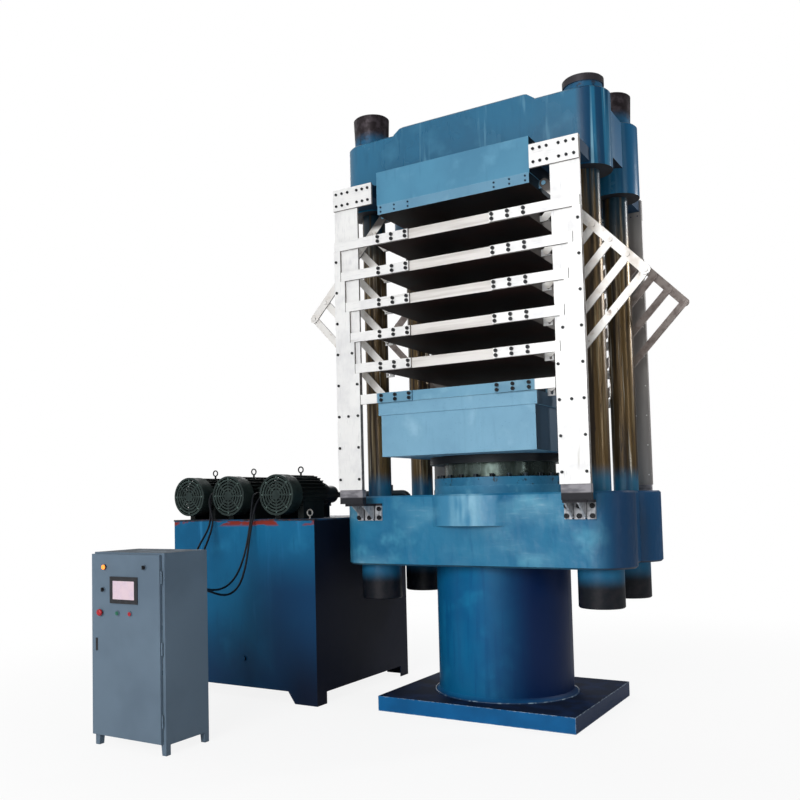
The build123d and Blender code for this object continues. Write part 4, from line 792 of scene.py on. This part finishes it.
def red_plastic(tree):
    """Red knobs of the emergency stop and the stop button."""
    return moulded(tree, "#b3202a", "#8e1a24")


def green_plastic(tree):
    """Green start button."""
    return moulded(tree, "#1f6b52", "#1a5544")


def black_plastic(tree):
    """Black switch knobs and door latch."""
    return moulded(tree, "#17181b", "#26272c")


def amber_lens(tree):
    """Moulded amber lens of the signal lamp, lit from behind."""
    plastic, normal = moulded(tree, "#ff9a45", "#f07a2a")
    return {**plastic, "Emission Color": linear("#ff8a30"), "Emission Strength": 1.2}, normal


def cable_rubber(tree):
    """Black rubber sheath, dulled by dust."""
    rubber = layer(tree, patches(tree, 60 * mm, 0.4, 0.7), coat("#080b12", 0.5), coat("#141820", 0.65))
    return rubber, relief(tree, (4 * mm, 0.05 * mm, even))


def weld_finish(tree):
    """Weld bead under chipped paint: rippled, with bare crests."""
    paint = layer(tree, patches(tree, 60 * mm, 0.5, 0.65), coat("#123a60", 0.45), coat("#7e97a8", 0.5))
    return paint, relief(tree, (7 * mm, 1 * mm, even))


def dress(material, names):
    """Puts one material on CAD nodes or new pieces, by name."""
    for name in names:
        piece = cad_nodes[name] if name in cad_nodes else bpy.data.objects[name]
        piece.data.materials.clear()
        piece.data.materials.append(material)


# Each finish: its name, how it is made, its specular level and what wears it. The studio's light comes
# from all round and greys dark paint, so most levels are under the usual one.
usual = 0.5
rows = range(1, 6)
link_names = [f"links_{side}_{row}" for side in ("right", "left") for row in range(1, 7)]
finishes = (
    ("enamel on filled casting", cast_beam_paint, 0.3, ["lower_beam"]),
    ("enamel on casting", upper_beam_paint, 0.45, ["upper_beam"]),
    ("enamel on bolster", bolster_paint, 0.25, ["top_bolster"]),
    ("enamel on table", table_paint, 0.25, ["moving_table"]),
    ("enamel on cylinder", cylinder_paint, 0.15, ["main_cylinder"]),
    ("enamel and oily screws", gland_finish, 0.25, ["gland_ring"]),
    ("enamel on oil tank", tank_paint, 0.15, ["oil_tank"]),
    ("trodden enamel", lid_paint, 0.25, ["tank_lid"]),
    ("black enamel", pump_paint, 0.25, ["pump_pipework"]),
    ("green enamel on cast iron", motor_paint, 0.25, ["motor_bodies"]),
    ("green enamel on pressed steel", cowl_paint, 0.25, ["fan_cowls"]),
    ("cast aluminium", fan_finish, usual, ["rotor_1", "rotor_2", "rotor_3"]),
    ("ground steel guides", guide_steel, usual, ["guide_plates"]),
    ("ground steel steps", step_steel, usual, ["step_plates"]),
    ("ground steel and primer", bracket_finish, 0.3, ["guide_brackets"]),
    ("ground steel arms", arm_steel, usual, [f"plate_fittings_{row}" for row in rows]),
    ("half-painted ground steel", table_arm_finish, 0.25, ["table_fittings"]),
    ("heat-browned steel", heated_steel, 0.25, [f"hot_plate_{row}" for row in rows]),
    ("painted heated steel", painted_heated_plate, 0.25, ["top_hot_plate", "table_hot_plate"]),
    ("oiled turned steel", column_steel, usual, ["columns"]),
    ("oiled and painted nuts", nut_finish, 0.2, ["column_nuts"]),
    ("ground ram steel", ram_steel, usual, ["ram"]),
    ("flat bar steel", linkage_steel, usual, ["levers_right", "levers_left", *link_names]),
    ("grey powder coat", cabinet_paint, 0.25, ["cabinet_body", "cabinet_door"]),
    ("touch screen", screen_finish, usual, ["screen_unit"]),
    ("red moulded plastic", red_plastic, usual, ["emergency_stop", "stop_button"]),
    ("green moulded plastic", green_plastic, usual, ["start_button"]),
    ("black moulded plastic", black_plastic, usual, ["mode_switch", "power_switch", "door_latch"]),
    ("lit amber polycarbonate", amber_lens, usual, ["signal_lamp_lens"]),
    ("chipped weld bead", weld_finish, usual, ["foot_weld"]),
    ("rubber sheath", cable_rubber, 0.25, [cable.name for cable in cables]),
)
for name, build, specular, pieces in finishes:
    dress(finish(name, build, specular), pieces)


# Floor, backdrop and lights

# The floor's side, and the distances between which it goes from its near share of white to its far one
floor_side = 80
floor_fade = (2, 7)
floor_white = (0.87, 1.0)

# Way to the brighter side, how far a ray turns to it, and the light there for matt and for glossy faces
bright_side = (-0.80, -0.25, 0.55)
bright_turn = (-0.3, 0.9)
fill_level = (0.08, 0.45)
mirror_level = (0.04, 0.6)


def floor_material():
    """Pale floor that keeps the shadow near the machine and goes to white far from it."""
    material = bpy.data.materials.new("pale floor")
    material.use_nodes = True
    tree = material.node_tree
    tree.nodes.clear()
    place = add(tree, "TexCoord", output="Object")
    far = add(tree, "VectorMath", {"operation": "LENGTH"}, {0: place}, "Value")
    far = add(tree, "MapRange", {"interpolation_type": "SMOOTHSTEP"},
              {0: far, 1: floor_fade[0], 2: floor_fade[1], 3: floor_white[0], 4: floor_white[1]})
    seen = meet(tree, far, add(tree, "LightPath", output="Is Camera Ray"))
    near = add(tree, "BsdfDiffuse", {}, {"Color": linear("#f4f4f4")})
    white = add(tree, "Emission", {}, {"Color": (1, 1, 1, 1)})
    shown = add(tree, "MixShader", {}, {0: seen, 1: near, 2: white})
    tree.links.new(shown, tree.nodes.new("ShaderNodeOutputMaterial").inputs["Surface"])
    return material


def lay_floor():
    """One large square under the machine."""
    shape = bmesh.new()
    bmesh.ops.create_grid(shape, x_segments=1, y_segments=1, size=floor_side / 2)
    mesh = bpy.data.meshes.new("floor")
    shape.to_mesh(mesh)
    shape.free()
    floor = bpy.data.objects.new("floor", mesh)
    mesh.materials.append(floor_material())
    bpy.context.scene.collection.objects.link(floor)


def light_world():
    """Soft fill, brighter from the left and above, with white where the camera sees it."""
    world = bpy.data.worlds.new("studio")
    world.use_nodes = True
    tree = world.node_tree
    tree.nodes.clear()
    way = add(tree, "TexCoord", output="Generated")
    turned = add(tree, "VectorMath", {"operation": "DOT_PRODUCT"}, {0: way, 1: bright_side}, "Value")
    fill, mirror = [add(tree, "MapRange", {"interpolation_type": "SMOOTHSTEP"},
                        {0: turned, 1: bright_turn[0], 2: bright_turn[1], 3: level[0], 4: level[1]})
                    for level in (fill_level, mirror_level)]
    lit = add(tree, "Mix", {}, {0: add(tree, "LightPath", output="Is Glossy Ray"), 2: fill, 3: mirror})
    through_glass = add(tree, "LightPath", output="Is Transmission Ray")
    seen = add(tree, "Math", {"operation": "MAXIMUM"},
               {0: add(tree, "LightPath", output="Is Camera Ray"), 1: through_glass})
    strength = add(tree, "Mix", {}, {0: seen, 2: lit, 3: 1.0})
    shown = add(tree, "Background", {}, {"Color": (1, 1, 1, 1), "Strength": strength})
    tree.links.new(shown, tree.nodes.new("ShaderNodeOutputWorld").inputs["Surface"])
    bpy.context.scene.world = world


def softbox(name, place, target, width, height, power):
    """Large soft lamp that faces a point of the machine."""
    lamp = bpy.data.lights.new(name, "AREA")
    lamp.shape = "RECTANGLE"
    lamp.size = width
    lamp.size_y = height
    lamp.energy = power
    holder = bpy.data.objects.new(name, lamp)
    aim = (Vector(target) - Vector(place)).to_track_quat("-Z", "Y")
    holder.matrix_world = Matrix.Translation(place) @ aim.to_matrix().to_4x4()
    bpy.context.scene.collection.objects.link(holder)


lay_floor()
light_world()
softbox("key light", place=(0.5, -13.0, 5.0), target=(-0.3, 0, 2.4), width=6, height=6, power=1020)
softbox("strip light", place=(7.5, -2.5, 3.6), target=(0.6, 0, 2.8), width=0.5, height=5.5, power=60)
softbox("back light", place=(-7.0, 9.0, 6.0), target=(-0.5, 0, 2.4), width=6, height=6, power=400)
softbox("rim light", place=(4.5, 3.5, 4.6), target=(1.1, 0, 4.2), width=0.4, height=2.0, power=150)
bpy.context.scene.view_settings.view_transform = "Standard"
